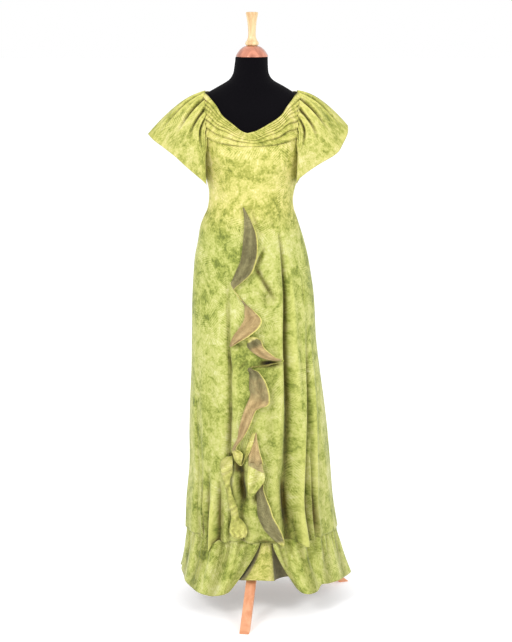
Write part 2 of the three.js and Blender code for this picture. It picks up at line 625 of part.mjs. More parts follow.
/** A row of the back that ends at a turn of the armhole: its half width, and its height. */
function backRow(turn, part) {
  const centreZ = ARMPIT_Z + (BACK_NECK_Z - ARMPIT_Z) * ((180 - turn) / BACK_ROW_SPREAD);
  const endZ = along(ARMHOLE, "turn", turn, "z");
  return {
    half: along(ARMHOLE, "turn", turn, "angle"),
    z: centreZ + (endZ - centreZ) * part ** BACK_EDGE_POWER,
  };
}

/** A place on the back's top, from the centre (0) to an armhole (1), v from its widest row up. */
function backPlace(part, v) {
  const limit = 90 - halfGapAngle(2 * SEAM_GAP, SHOULDER_SEAM.outerZ);
  const lowest = BACK_TURNS[BACK_TURNS.length - 1];
  const s = part + (Math.sin(part * 90 * DEGREES) - part) * v;
  const centreZ = backRow(lowest, 0).z;
  return patchPlace(s, v, {
    low: (t) => ({ angle: backRow(lowest, t).half * t, z: backRow(lowest, t).z }),
    high: (t) => ({
      angle: Math.asin(t * Math.sin(limit * DEGREES)) / DEGREES,
      z: BACK_NECK_Z + (SHOULDER_SEAM.neckZ - BACK_NECK_Z) * smooth(t, 0, 1),
    }),
    middle: (t) => centreZ + (BACK_NECK_Z - centreZ) * t,
    end: (t) => {
      const edge = seamEnd(lowest, t);
      return { angle: Math.min(edge.angle, limit), z: edge.z };
    },
  });
}

/** A place inside four edges: low, high, the centre line (middle) and the end. */
function patchPlace(s, v, edges) {
  const low = edges.low(s);
  const high = edges.high(s);
  const end = edges.end(v);
  const corner = { low: edges.end(0), high: edges.end(1) };
  const mix = (key) => {
    const straight = key(low) * (1 - v) + key(high) * v;
    return straight + s * (key(end) - key(corner.low) * (1 - v) - key(corner.high) * v);
  };
  const centre = edges.middle(v) - edges.middle(0) * (1 - v) - edges.middle(1) * v;
  return { angle: angleOf(mix(sideOf)), z: mix((place) => place.z) + (1 - s) * centre };
}

/** How far a place lies across the gown: 0 at the centre, 1 at the side. */
function sideOf(place) {
  return Math.sin(place.angle * DEGREES);
}

function angleOf(side) {
  return Math.asin(THREE.MathUtils.clamp(side, 0, 1)) / DEGREES;
}

/** Up the armhole from a turn of it, then in along the shoulder seam to the neck. */
function seamEnd(lowestTurn, v) {
  if (v > SHOULDER_SEAM.share) {
    const part = (v - SHOULDER_SEAM.share) / (1 - SHOULDER_SEAM.share);
    const z = SHOULDER_SEAM.outerZ + (SHOULDER_SEAM.neckZ - SHOULDER_SEAM.outerZ) * part;
    return { angle: 90, z };
  }
  return armholeAt(lowestTurn * (1 - v / SHOULDER_SEAM.share));
}

function armholeAt(turn) {
  return { angle: along(ARMHOLE, "turn", turn, "angle"), z: along(ARMHOLE, "turn", turn, "z") };
}

// ---------- Neck band ----------

/** The band's lower edge from the centre front (0) out to the armhole and up to the shoulder (1). */
function bandLowEdge(s) {
  if (s <= BAND_SEAM.share) {
    const angle = (BAND_SEAM.angle * s) / BAND_SEAM.share;
    return { angle, z: bandSeamZ(angle) };
  }
  return armholeAt((BAND_SEAM.turn * (1 - s)) / (1 - BAND_SEAM.share));
}

/** A place on the band, s from the centre front to a shoulder, v from lower edge to neckline. */
function bandPlace(s, v) {
  const part = Math.abs(s);
  const low = bandLowEdge(part);
  const high = { angle: along(NECKLINE, "s", part, "angle"), z: along(NECKLINE, "s", part, "z") };
  const side = sideOf(low) * (1 - v) + sideOf(high) * v;
  return [Math.sign(s) * angleOf(side), low.z * (1 - v) + high.z * v];
}

function addNeckBand() {
  const rowCount = 2 * BAND_PLEATS + 1;
  const right = BAND_COLUMNS.map((s) => -s).reverse();
  const columns = [...right, ...BAND_COLUMNS.slice(1)];
  const places = range(rowCount).map((i) => columns.map((s) => bandPlace(s, i / (rowCount - 1))));
  const pleatHeight = (i, j) => {
    if (i % 2 === 0) return 0;
    const room = gownPoint(...places[i + 1][j]).distanceTo(gownPoint(...places[i - 1][j]));
    return Math.min(BAND_PLEAT_HEIGHT, BAND_PLEAT_SLOPE * room);
  };
  addPanel("neck_band", places, pleatHeight);
}

// ---------- Sleeves ----------

function armholePoint(turn, side) {
  const front = turn <= 180;
  const rowTurn = front ? turn : 360 - turn;
  const { angle, z } = armholeAt(rowTurn);
  const place = side * (front ? angle : 180 - angle);
  const seam = gownPoint(place, z);
  const outwards = gownNormal(place, z);
  const inwards = gownPoint(side * 90, ARMHOLE_CENTRE_Z).sub(seam);
  inwards.addScaledVector(outwards, -inwards.dot(outwards)).normalize();
  const below = smooth(rowTurn, SLEEVE_SET.from, SLEEVE_SET.to);
  const standOff = SLEEVE_SET.outwards + (SLEEVE_SET.under - SLEEVE_SET.outwards) * below;
  return seam.addScaledVector(inwards, SLEEVE_SET.inwards).addScaledVector(outwards, standOff);
}

/** A sleeve's surface before pleating: armhole, bulge and hem on one smooth curve. */
function plainSleevePoint(turnValue, v, side) {
  const turn = THREE.MathUtils.euclideanModulo(turnValue, 360);
  const prefix = side < 0 ? "r" : "l";
  const read = (column) => along(SLEEVE, "turn", turn, column);
  const start = armholePoint(turn, side);
  const end = new THREE.Vector3(side * read(prefix + "x"), read(prefix + "y"), read(prefix + "z"));
  const control = start.clone().lerp(end, SLEEVE_CONTROL);
  control.add(new THREE.Vector3(side * read("bx"), read("by"), read("bz")));
  const back = 1 - v;
  return start.multiplyScalar(back * back)
    .addScaledVector(control, 2 * back * v)
    .addScaledVector(end, v * v);
}

function pleatRelief(turn, v) {
  let relief = 0;
  for (const pleat of SLEEVE_PLEATS) {
    const centre = pleat.turn + (pleat.drift * v) / pleat.reach;
    const t = wrapAngle(turn - centre) / pleat.width;
    const end = 1 - smooth(v, SLEEVE_PLEAT_FADE.hold * pleat.reach, pleat.reach);
    const fade = smooth(v, 0, SLEEVE_PLEAT_FADE.start) * end;
    relief -= pleat.depth * fade * Math.exp(-t * t);
  }
  return relief;
}

function addSleeve(name, side) {
  const plain = (turn, v) => plainSleevePoint(turn, v, side);
  const normalOf = (surface, turn, v) => {
    return surfaceNormal(surface, turn, v, NORMAL_STEP.turn, NORMAL_STEP.share, side);
  };
  const pleated = (turn, v) => {
    return plain(turn, v).addScaledVector(normalOf(plain, turn, v), pleatRelief(turn, v));
  };
  const turns = range(SLEEVE_COLUMN_COUNT).map((j) => (360 * j) / SLEEVE_COLUMN_COUNT);
  const outer = SLEEVE_ROWS.map((v) => turns.map((turn) => pleated(turn, v)));
  const inner = SLEEVE_ROWS.map((v) => turns.map((turn) => {
    return pleated(turn, v).addScaledVector(normalOf(pleated, turn, v), -WALL);
  }));
  const turnRound = (grid) => (side > 0 ? grid : grid.map((row) => [...row].reverse()));
  addWall(name, turnRound(outer), turnRound(inner), true);
}

// ---------- Cascade ----------

function angleAtX(x, z) {
  const shape = gownSection(z);
  return Math.asin((x - shape.xc) / shape.a) / DEGREES;
}

function cascadePoint(place, v) {
  const read = (column) => along(CASCADE, "step", place, column);
  const lower = gownPoint(angleAtX(read("sx"), read("sz")), read("sz"), read("so"));
  const free = gownPoint(angleAtX(read("ex"), read("ez")), read("ez"), read("eo"));
  const point = lower.lerp(free, v);
  point.y -= CASCADE_BULGE * v * (1 - v);
  return point;
}

function addCascade() {
  CASCADE.forEach((row, i) => { row.step = i; });
  const places = steps(0, CASCADE.length - 1, CASCADE_STEP);
  const layer = (distance) => places.map((place) => CASCADE_ACROSS.map((v) => {
    const normal = surfaceNormal(cascadePoint, place, v, NORMAL_STEP.share, NORMAL_STEP.share, -1);
    return cascadePoint(place, v).addScaledVector(normal, distance);
  }));
  addWall("front_cascade", layer(WALL / 2), layer(-WALL / 2));
}

// ---------- Hem flounce ----------

function backHemRows() {
  return FLOUNCE_BACK_WAVES.map((out, k) => {
    const angle = FLOUNCE_BACK.first + FLOUNCE_BACK.step * k;
    const side = Math.sin(angle * DEGREES);
    const ahead = Math.cos(angle * DEGREES);
    const overLeg = (angle - HEM_OVER_LEG.angle) / HEM_OVER_LEG.spread;
    return {
      angle,
      x: FLOUNCE_BACK.xc + (FLOUNCE_BACK.halfWidth + out) * side,
      y: -(FLOUNCE_BACK.depth + out) * ahead,
      z: FLOUNCE_BACK.z - FLOUNCE_BACK.dip * out + HEM_OVER_LEG.lift * Math.exp(-overLeg * overLeg),
    };
  });
}

function flouncePoint(rows, angle, v, hang, power) {
  const z = FLOUNCE_TOP_Z + (along(rows, "angle", angle, "z") - FLOUNCE_TOP_Z) * v;
  const seam = hang(angle, Math.max(z, SKIRT_HEM_Z));
  const spread = (Math.max(0, v - FLOUNCE_STRAIGHT) / (1 - FLOUNCE_STRAIGHT)) ** power;
  const x = seam.x + (along(rows, "angle", angle, "x") - seam.x) * spread;
  const y = seam.y + (along(rows, "angle", angle, "y") - seam.y) * spread;
  return new THREE.Vector3(x, y, z);
}

function addFlounce(name, rows, angles, hang, power) {
  const surface = (angle, v) => flouncePoint(rows, angle, v, hang, power);
  const outer = FLOUNCE_ROWS.map((v) => angles.map((angle) => surface(angle, v)));
  const inner = FLOUNCE_ROWS.map((v) => angles.map((angle) => {
    const normal = surfaceNormal(surface, angle, v, NORMAL_STEP.angle, NORMAL_STEP.share, -1);
    return surface(angle, v).addScaledVector(normal, -WALL);
  }));
  const downwards = (grid) => [...grid].reverse();
  addWall(name, downwards(outer), downwards(inner));
}

/** The angles between two ends at which the skirt's panels have a column at their hem. */
function hemColumns(from, to) {
  const edges = (panel) => panelEdges(panel, SKIRT_HEM_Z);
  const spread = (panel, shares) => shares.map((share) => edges(panel)[0]
    + (edges(panel)[1] - edges(panel)[0]) * share);
  const backShares = range(BACK_COLUMN_COUNT).map((j) => j / (BACK_COLUMN_COUNT - 1));
  const behind = spread("back", backShares);
  const all = [
    ...spread("front", FRONT_COLUMNS),
    ...spread("left", LEFT_COLUMNS.map((column) => column.hem)),
    ...spread("right", RIGHT_COLUMNS.map((column) => column.hem)),
    ...behind,
    ...behind.map((angle) => angle - 360),
  ];
  const inside = (angle) => angle > from + COLUMN_APART && angle < to - COLUMN_APART;
  const between = all.filter(inside).sort((a, b) => a - b);
  const apart = between.filter((angle, i) => i === 0 || angle - between[i - 1] > SAME_ANGLE);
  return [from, ...apart, to];
}

function addFlounces() {
  const insideSkirt = (angle, z) => gownPoint(angle, z, -FLOUNCE_TUCK);
  const furtherIn = (angle, z) => sectionPoint(gownSection(z), angle, -UNDER_TUCK, z);
  const behind = backHemRows();
  const turned = behind.map((row) => ({ ...row, angle: row.angle - 360 }));
  const leftRows = [...FLOUNCE_LEFT_FRONT, ...behind];
  const rightRows = [...turned, ...FLOUNCE_RIGHT_FRONT];
  const seam = halfGapAngle(SEAM_GAP, SKIRT_HEM_Z);
  const left = hemColumns(FLOUNCE_LEFT_FRONT[0].angle, 180 - seam);
  const right = hemColumns(seam - 180, FLOUNCE_RIGHT_FRONT[FLOUNCE_RIGHT_FRONT.length - 1].angle);
  addFlounce("hem_flounce_left", leftRows, left, insideSkirt, FLOUNCE_FLARE.outer);
  addFlounce("hem_flounce_right", rightRows, right, insideSkirt, FLOUNCE_FLARE.outer);
  const last = FLOUNCE_UNDER[FLOUNCE_UNDER.length - 1];
  const under = steps(FLOUNCE_UNDER[0].angle, last.angle, UNDER_COLUMN_STEP);
  addFlounce("hem_under_flounce", FLOUNCE_UNDER, under, furtherIn, FLOUNCE_FLARE.under);
}

// ---------- Dress form and stand ----------

/** A closed body of level rings, flat at its bottom and top. */
function addTorso() {
  const levels = TORSO_LEVELS;
  const count = TORSO_COLUMNS;
  const positions = [];
  for (const z of levels) {
    for (const j of range(count)) positions.push(...formPoint((360 * j) / count, z).toArray());
  }
  const indices = [];
  const at = (i, j) => i * count + (j % count);
  for (const i of range(levels.length - 1)) {
    for (const j of range(count)) {
      indices.push(at(i, j), at(i, j + 1), at(i + 1, j + 1));
      indices.push(at(i, j), at(i + 1, j + 1), at(i + 1, j));
    }
  }
  const top = levels.length - 1;
  const lower = positions.length / 3;
  positions.push(FORM[0].xc, 0, levels[0], FORM[FORM.length - 1].xc, 0, levels[top]);
  for (const j of range(count)) {
    indices.push(lower, at(0, j + 1), at(0, j));
    indices.push(lower + 1, at(top, j), at(top, j + 1));
  }
  addMesh("form_torso", COLOURS.jersey, positions, indices, 0.9);
}

function addTurned(name, colour, profile) {
  const last = profile.length - 1;
  const points = [new THREE.Vector2(0, profile[0].z)];
  for (const { r, z } of profile) points.push(new THREE.Vector2(r, z));
  points.push(new THREE.Vector2(0, profile[last].z));
  const geometry = new THREE.LatheGeometry(points, TURNED_SIDES);
  geometry.rotateX(Math.PI / 2);
  addGeometry(name, colour, geometry, 0.35);
}

function addPole() {
  const height = POLE.top - POLE.bottom;
  const geometry = new THREE.CylinderGeometry(POLE.radius, POLE.radius, height, TURNED_SIDES);
  geometry.rotateX(Math.PI / 2);
  geometry.translate(0, 0, (POLE.top + POLE.bottom) / 2);
  addGeometry("stand_pole", COLOURS.orangeWood, geometry);
}

/** Turns a flat outline into a solid that stands from one height to another. */
function standingPrism(points, bottom, top) {
  const outline = new THREE.Shape(points);
  const geometry = new THREE.ExtrudeGeometry(outline, { depth: top - bottom, bevelEnabled: false });
  geometry.translate(0, 0, bottom);
  return geometry;
}

/** The hub has three flat faces for the legs and three cut corners. */
function addHub() {
  const points = [];
  for (const { angle } of LEGS) {
    const face = angle * DEGREES;
    for (const end of [-1, 1]) {
      const x = HUB.face * Math.cos(face) - end * HUB.corner * Math.sin(face);
      const y = HUB.face * Math.sin(face) + end * HUB.corner * Math.cos(face);
      points.push(new THREE.Vector2(x, y));
    }
  }
  addGeometry("stand_hub", COLOURS.orangeWood, standingPrism(points, HUB.bottom, HUB.top));
}

/** A flat straight leg from the hub to the floor, with its sole on the floor. */
function addLeg(name, angle) {
  const direction = angle * DEGREES;
  const run = Math.hypot(FOOT_REACH - LEG.start, LEG.side);
  const swing = Math.atan2(-LEG.side, FOOT_REACH - LEG.start);
  const profile = [
    new THREE.Vector2(0, LEG.slope * (run - LEG.sole)),
    new THREE.Vector2(run - LEG.sole, 0),
    new THREE.Vector2(run, 0),
    new THREE.Vector2(0, LEG.slope * run),
  ];
  const geometry = new THREE.ExtrudeGeometry(new THREE.Shape(profile), {
    depth: LEG.width, bevelEnabled: false,
  });
  geometry.translate(0, 0, -LEG.width / 2);
  geometry.rotateX(Math.PI / 2);
  const leg = addGeometry(name, COLOURS.orangeWood, geometry);
  leg.rotation.z = direction + swing;
  leg.position.x = LEG.start * Math.cos(direction) - LEG.side * Math.sin(direction);
  leg.position.y = LEG.start * Math.sin(direction) + LEG.side * Math.cos(direction);
}

function addStand() {
  addTorso();
  addTurned("neck_cap", COLOURS.copperWood, NECK_CAP);
  addTurned("neck_finial", COLOURS.paleWood, FINIAL);
  addPole();
  addHub();
  for (const { name, angle } of LEGS) addLeg(name, angle);
}

addFrontPanels();
addBack();
addNeckBand();
addSleeve("sleeve_right", -1);
addSleeve("sleeve_left", 1);
addCascade();
addFlounces();
addStand();

// The origin is the middle of the whole part's box, on the floor.
group.updateMatrixWorld(true);
const box = new THREE.Box3().setFromObject(group, true);
const middle = box.getCenter(new THREE.Vector3());
group.position.set(-middle.x, -middle.y, -box.min.z);

export default group;
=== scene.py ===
"""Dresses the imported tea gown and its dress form, and sets the floor, light and camera."""

import math
from types import SimpleNamespace as Sizes

import bpy
import numpy as np
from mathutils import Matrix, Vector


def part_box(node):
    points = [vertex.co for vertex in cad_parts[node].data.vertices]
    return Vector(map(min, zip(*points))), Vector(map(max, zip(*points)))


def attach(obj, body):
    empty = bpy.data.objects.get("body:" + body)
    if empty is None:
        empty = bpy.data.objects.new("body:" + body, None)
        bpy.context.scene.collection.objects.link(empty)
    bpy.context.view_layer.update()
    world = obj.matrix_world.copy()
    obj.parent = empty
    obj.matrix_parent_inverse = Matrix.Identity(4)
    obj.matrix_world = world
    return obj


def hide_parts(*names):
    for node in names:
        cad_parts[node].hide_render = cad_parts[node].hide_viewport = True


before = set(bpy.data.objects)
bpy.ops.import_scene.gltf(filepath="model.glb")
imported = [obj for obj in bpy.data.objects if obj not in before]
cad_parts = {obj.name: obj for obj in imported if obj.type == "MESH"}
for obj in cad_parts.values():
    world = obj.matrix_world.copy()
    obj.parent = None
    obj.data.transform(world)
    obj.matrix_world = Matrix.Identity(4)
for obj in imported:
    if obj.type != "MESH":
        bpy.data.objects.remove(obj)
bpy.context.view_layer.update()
POLE_LOW, POLE_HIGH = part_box("stand_pole")
POLE_X = (POLE_LOW[0] + POLE_HIGH[0]) / 2
POLE_Y = (POLE_LOW[1] + POLE_HIGH[1]) / 2


# ---------- Sizes, in millimetres from the stand's pole, nearly all as the solids have them ----------

def table(names, *rows):
    """A table as one array for each named column, and one of its rows' own numbers, as steps."""
    columns = {name: np.array(column, float) for name, column in zip(names.split(), zip(*rows))}
    return dict(columns, step=np.arange(len(rows), dtype=float))


CLOTH = 1.0               # thickness of the cloth
BODICE_EASE = 4.5
SHOULDER_LIFT = (5, 1400, 1450)
WAIST_BLEND = (1112, 1165)
HIP_Z = 1000
SKIRT_HEM_Z = 218
FLOUNCE_TOP_Z = 227
BODICE_SPLIT_Z = 1250
ARMPIT_Z = 1288
BUST = Sizes(angle=34, spread=17, z=1288, height=46, out=9)
BAND_SEAM = Sizes(angle=52, turn=130, share=0.6, centre_z=1320, rise=20, power=2.2)
SHOULDER_SEAM = Sizes(outer_z=1457, neck_z=1463, share=0.87)
BACK_NECK_Z = 1404
BACK_EDGE_POWER = 2.6
BACK_ROW_SPREAD = 200
BACK_LOWEST_TURN = 85
ARMHOLE_CENTRE_Z = 1375
FRONT_ROUNDNESS = 0.86    # of the gown's half width, as the radius that its front turns on
PLACKET = Sizes(z=1128, half=17, width=7)

FORM = table(
    "z xc a bf bb",
    (800, 0, 150, 84, 92), (870, 0, 153, 88, 98), (930, -1, 152, 90, 100), (1000, -3, 145, 90, 96),
    (1050, -4, 138, 89, 89), (1093, -5, 128, 87, 83), (1139, -4, 115.5, 85, 78), (1165, -3, 113, 85, 77),
    (1195, -1, 116, 91, 80), (1250, 0, 132, 103, 88), (1301, 0, 145, 111, 97), (1340, 0, 152, 107, 100),
    (1380, 0, 156, 97, 99), (1410, 0, 154, 85, 93), (1430, 0, 147, 74, 84), (1445, -1, 136, 66, 77),
    (1461, -3, 117.5, 58, 70), (1478, -2, 89.5, 52, 62), (1494, -3, 62, 48, 55), (1511, -3, 50, 46, 50),
    (1527, -2.5, 47, 45, 46), (1557, -1, 44.5, 44, 44),
)
SKIRT = table(
    "z xc a bf bb",
    (218, 27, 219, 178, 176), (302, 22, 210, 170, 168), (397, 22, 201, 162, 161), (492, 18, 196, 154, 154),
    (587, 14, 189, 146, 147), (680, 10, 181, 138, 140), (773, 5, 176, 131, 134), (865, 3, 173, 126, 128),
    (911, 2, 170, 123, 125), (957, 0, 165, 120, 121), (1003, -2, 159, 115, 114), (1048, -3, 149, 109, 105),
    (1093, -6, 138, 101, 94), (1139, -4, 121, 92, 84),
)
SEAMS = table(
    "z right left side",
    (218, -25, 21.5, 90), (400, -26, 23, 89), (600, -26, 29.5, 88), (865, -26, 33, 86), (1000, -28, 32.2, 84),
    (1065, -34, 34, 81), (1128, -42, 40, 79), (1200, -41, 41, 84), (1250, -38, 38, 90),
)
# The solids' hanging folds: panel, place across it at hip and hem, top, height where full,
# depth, width at its top and at the hem in degrees.
FOLDS = [
    ("left", 0, 0, 1110, 600, 27, 3.4, 5.6),
    ("left", 0.54, 0.26, 900, 420, 24, 2.8, 4),
    ("right", 0, 0, 1010, 560, 9, 4.5, 5.5),
    ("right", 0.69, 0.46, 820, 330, 7, 4, 4.6),
    ("right", 0.53, 0.3, 470, 235, 17, 2.6, 3.2),
    ("right", 0.22, 0.1, 430, 235, 14, 2.4, 3),
    ("front", 0.26, 0.22, 560, 380, 15, 2.8, 3.4),
    ("back", 0.1, 0.1, 980, 520, 12, 3.6, 4.6),
    ("back", 0.2, 0.21, 1060, 600, 17, 3.4, 5),
    ("back", 0.31, 0.32, 900, 480, 12, 3.2, 4.4),
    ("back", 0.42, 0.43, 1080, 560, 20, 3.4, 5.2),
    ("back", 0.55, 0.54, 990, 500, 14, 3.6, 4.6),
    ("back", 0.67, 0.66, 1070, 620, 19, 3.4, 5),
    ("back", 0.78, 0.78, 920, 470, 11, 3.2, 4.4),
    ("back", 0.89, 0.9, 1010, 540, 14, 3.4, 4.8),
]
FOLD_RIDGE = (2.1, 0.32)
ARMHOLE = table(
    "turn angle z",
    (0, 90, 1457), (20, 73, 1450), (40, 59, 1437), (60, 52, 1415), (85, 51, 1388),
    (110, 51, 1362), (130, 52, 1340), (145, 58, 1321), (162, 74, 1297), (180, 90, 1288),
)
NECKLINE = table(
    "s angle z",
    (0, 0, 1356), (0.22, 9, 1363), (0.42, 19, 1381), (0.6, 30, 1402),
    (0.8, 42, 1433), (0.92, 61, 1454), (1, 90, 1463),
)
SLEEVE = table(
    "turn rx ry rz lx ly lz bx by bz",
    (0, 289, -2, 1345, 266, -2, 1368, -10, 0, 52),
    (30, 270, -32, 1329, 263, -30, 1344, 0, -16, 38),
    (60, 243, -52, 1311, 250, -52, 1320, 8, -28, 27),
    (90, 215, -68, 1293, 229, -66, 1295, 8, -36, 20),
    (120, 180, -82, 1260, 179, -79, 1264, -8, -42, 14),
    (150, 138, -86, 1227, 133, -82, 1233, -20, -42, 8),
    (170, 126, -66, 1211, 123, -64, 1214, -8, -30, 0),
    (190, 134, 0, 1218, 130, 0, 1222, 12, 0, -4),
    (210, 145, 52, 1230, 141, 50, 1233, 12, 14, 0),
    (240, 188, 72, 1258, 184, 70, 1262, 12, 28, 14),
    (270, 216, 66, 1290, 225, 64, 1294, 10, 32, 20),
    (300, 246, 50, 1313, 248, 48, 1322, 6, 28, 28),
    (330, 272, 28, 1330, 260, 26, 1346, -2, 16, 38),
    (360, 289, -2, 1345, 266, -2, 1368, -10, 0, 52),
)
SLEEVE_SET = Sizes(inwards=0.6, outwards=0.2)
SLEEVE_CONTROL = 0.4
# Pleats of a sleeve head: turn, drift, depth, width in degrees, and reach towards the hem.
SLEEVE_PLEATS = [
    (12, 14, 8, 6, 0.75), (30, 34, 8, 7, 0.6), (52, 50, 7, 8, 0.5), (78, 56, 7, 8, 0.42),
    (108, 50, 6, 8, 0.34), (346, -14, 7, 6, 0.7), (326, -34, 8, 7, 0.6), (300, -48, 6, 8, 0.5),
    (272, -50, 6, 8, 0.4),
]
# The cascade: the edge against the skirt, the free edge, each one's height off the skirt, and what
# shows: how much of the cloth's reverse, how far that has faded to pink, and how much painted shade it gets.
CASCADE = table(
    "sx sz so ex ez eo back pink dark",
    (-25, 1151, 3, -22, 1151, 3.5, 1, 0, 0.4), (-22, 1131, 4, -12, 1132, 6, 1, 0, 0.3),
    (-21, 1117, 4, -3, 1117, 9, 1, 0, 0.2), (-22, 1088, 5, 9, 1088, 14, 1, 0, 0.1),
    (-24, 1059, 6, 14, 1059, 17, 1, 0, 0.1), (-27, 1030, 6, 14, 1027, 19, 1, 0, 0.2),
    (-32, 1004, 6, 8, 997, 19, 1, 0, 0.2), (-42, 979, 6, -1, 974, 17, 1, 0, 0.1),
    (-49, 960, 7, -25, 949, 14, 1, 0.2, 0.1), (-55, 941, 7, -45, 929, 10, 0.6, 0.3, 0.1),
    (-42, 912, 3, -36, 912, 5, 0, 0, 0.2), (-22, 886, 3, -14, 886, 5, 1, 0.5, 0.4),
    (-20, 864, 5, 8, 868, 14, 1, 0.8, 0.1), (-21, 846, 6, 24, 848, 20, 1, 1, 0),
    (-33, 823, 8, 20, 829, 22, 1, 1, 0), (-46, 804, 9, 3, 810, 21, 1, 1, 0),
    (-54, 787, 10, -18, 794, 19, 1, 1, 0), (-59, 768, 10, -50, 772, 15, 1, 0.8, 0.1),
    (-40, 783, 4, -25, 790, 7, 0, 0, 0.8), (-14, 786, 4, 1, 798, 9, 0, 0, 0),
    (-12, 769, 6, 23, 790, 14, 1, 0.1, 0.4), (3, 754, 8, 30, 771, 18, 1, 0.9, 0),
    (27, 739, 9, 45, 754, 20, 1, 1, 0), (56, 731, 10, 62, 740, 18, 1, 0.8, 0),
    (77, 728, 10, 80, 731, 13, 0, 0, 0), (44, 714, 3, 50, 719, 5, 0, 0, 0.7),
    (-8, 710, 3, -2, 713, 6, 1, 0, 0.5), (-7, 693, 5, 19, 700, 12, 1, 0, 0.3),
    (-7, 674, 6, 34, 678, 18, 1, 0.4, 0), (-7, 652, 7, 43, 651, 21, 1, 0.4, 0.05),
    (-4, 637, 7, 46, 625, 22, 1, 0.5, 0.05), (-10, 618, 8, 42, 609, 21, 1, 0.8, 0),
    (-18, 599, 8, 14, 596, 20, 1, 1, 0), (-27, 569, 9, 3, 570, 18, 1, 1, 0),
    (-34, 538, 10, -9, 539, 17, 1, 1, 0), (-38, 513, 10, -22, 516, 16, 1, 0.8, 0.1),
    (-56, 478, 11, -39, 486, 16, 0.6, 0.5, 0.1), (-50, 462, 10, -23, 472, 15, 0, 0, 0),
    (-33, 434, 7, -29, 437, 9, 0, 0, 0.3), (-24, 452, 4, -12, 462, 9, 0, 0, 0.4),
    (-14, 490, 6, 2, 496, 14, 0, 0, 0), (2, 530, 6, 11, 532, 12, 0.6, 0.6, 0.2),
    (1, 510, 5, 15, 510, 11, 1, 0.9, 0.1), (-6, 481, 6, 23, 473, 15, 1, 0.9, 0),
    (-8, 454, 6, 30, 448, 18, 1, 0.6, 0), (-8, 427, 6, 29, 428, 13, 1, 0.4, 0.1),
    (2, 394, 6, 32, 394, 10, 1, 0.3, 0.3), (12, 362, 6, 33, 368, 13, 1, 0.2, 0.2),
    (14, 328, 6, 47, 328, 16, 1, 0, 0), (17, 295, 6, 57, 295, 17, 1, 0, 0),
    (31, 262, 7, 74, 261, 18, 1, 0.1, 0), (47, 241, 7, 83, 239, 18, 0.9, 0.1, 0),
    (68, 222, 7, 90, 220, 14, 0.5, 0, 0), (84, 206, 7, 91, 204, 11, 0, 0, 0),
)
# The cascade's turned-down corner, and its gathered edge: both edges and their heights off the
# skirt, from the top down.
CORNER = table(
    "sx sz so ex ez eo",
    (-8, 448, 7, 27, 446, 17.6), (-9, 432, 10, 30, 432, 20), (-10, 412, 12, 34, 412, 22),
    (-9, 392, 14, 33, 397, 22), (-8, 368, 16, 19, 375, 21), (-6, 345, 16, 0, 350, 18),
)
RUFFLE = table(
    "sx sz so ex ez eo",
    (-76, 455, 0, -62, 458, 1), (-85, 443, 5, -52, 446, 8), (-85, 418, 6, -54, 420, 9),
    (-78, 385, 9, -60, 388, 11),
    (-70, 357, 11, -52, 358, 12), (-63, 324, 11, -42, 326, 12), (-57, 300, 10, -38, 302, 12),
    (-55, 284, 11, -34, 286, 13), (-58, 268, 14, -16, 276, 17), (-59, 252, 15, -10, 256, 18),
    (-55, 238, 12, -14, 240, 14), (-42, 229, 6, -24, 231, 7),
)
CASCADE_BULGE = 3.5
CASCADE_FOLD = 2.4
CORNER_BULGE = 4
CORNER_WAVE = 1.6
RUFFLE_BULGE = 7
RUFFLE_BUNCH = 2.6
FLOUNCE_RIGHT_FRONT = [
    (-90, -205, 4, 88), (-72, -197, -66, 81), (-56, -178, -128, 75), (-43, -148, -176, 70),
    (-31, -112, -196, 68), (-18, -80, -190, 70), (-7, -70, -186, 72), (1, -62, -172, 77),
]
FLOUNCE_LEFT_FRONT = [
    (6, 121, -158, 79), (14, 134, -176, 74), (24, 158, -186, 70), (34, 184, -172, 73),
    (43, 196, -134, 80), (53, 220, -120, 79), (70, 262, -66, 77), (90, 287, 0, 78),
]
FLOUNCE_UNDER = [
    (-10, -76, -84, 90), (-7, -58, -96, 90), (-4.5, -42, -144, 99), (-2, -27, -184, 109),
    (1.5, 8, -203, 114), (5, 40, -200, 113), (8, 62, -176, 106), (10.5, 72, -136, 97),
    (13, 92, -98, 90), (16, 118, -88, 89),
]
FLOUNCE_BACK = Sizes(xc=41, half=246, depth=196, z=80, dip=0.2, first=104, step=16.3)
FLOUNCE_BACK_WAVES = np.array([-16, 20, -20, 18, -22, 22, -18, 26, -20, 14], float)
HEM_OVER_LEG = Sizes(at=218, lift=22, spread=12)
FLOUNCE_TUCK = 4.6
UNDER_TUCK = 13.8
UNDER_LOBE = Sizes(at=3.4, half=4.8, out=7)
FLOUNCE_STRAIGHT = 0.1
LEFT_SPAN = (8, 180)
RIGHT_SPAN = (-180, -1.5)
UNDER_SPAN = (-10, 16)
FLOUNCE_CURVE = 1.25
UNDER_CURVE = 1.9
FLOUNCE_PUCKER = 1.3
FLOUNCE_FOLD = 3.0
NECK_CAP = [(0, 1557.3), (44, 1557.3), (45, 1560), (43.5, 1563), (40, 1569), (34, 1577), (26, 1584),
            (18, 1587.7), (0, 1587.7)]
FINIAL = [(0, 1588), (16, 1588), (19, 1592), (18.5, 1597), (14, 1603), (11, 1611), (10.4, 1622),
          (11, 1636), (12.6, 1652), (15, 1666), (17.2, 1675), (16.6, 1679), (12, 1680), (0, 1680)]
FOOT_REACH = 316
POLE = [(0, 265.3), (13, 265.3), (14, 266.5), (14, 798.5), (13, 799.7), (0, 799.7)]
HUB = Sizes(face=30, corner=34, bottom=212, top=265)
LEG = Sizes(width=27, sole=30, slope=0.82, start=31.4, side=20)
WOOD_EDGE = 2.0
LEGS = [
    ("leg_front_wood", "leg_front", -94),
    ("leg_back_left_wood", "leg_back_left", 26),
    ("leg_back_right_wood", "leg_back_right", 124),
]

# ---------- What only the dressed gown has ----------

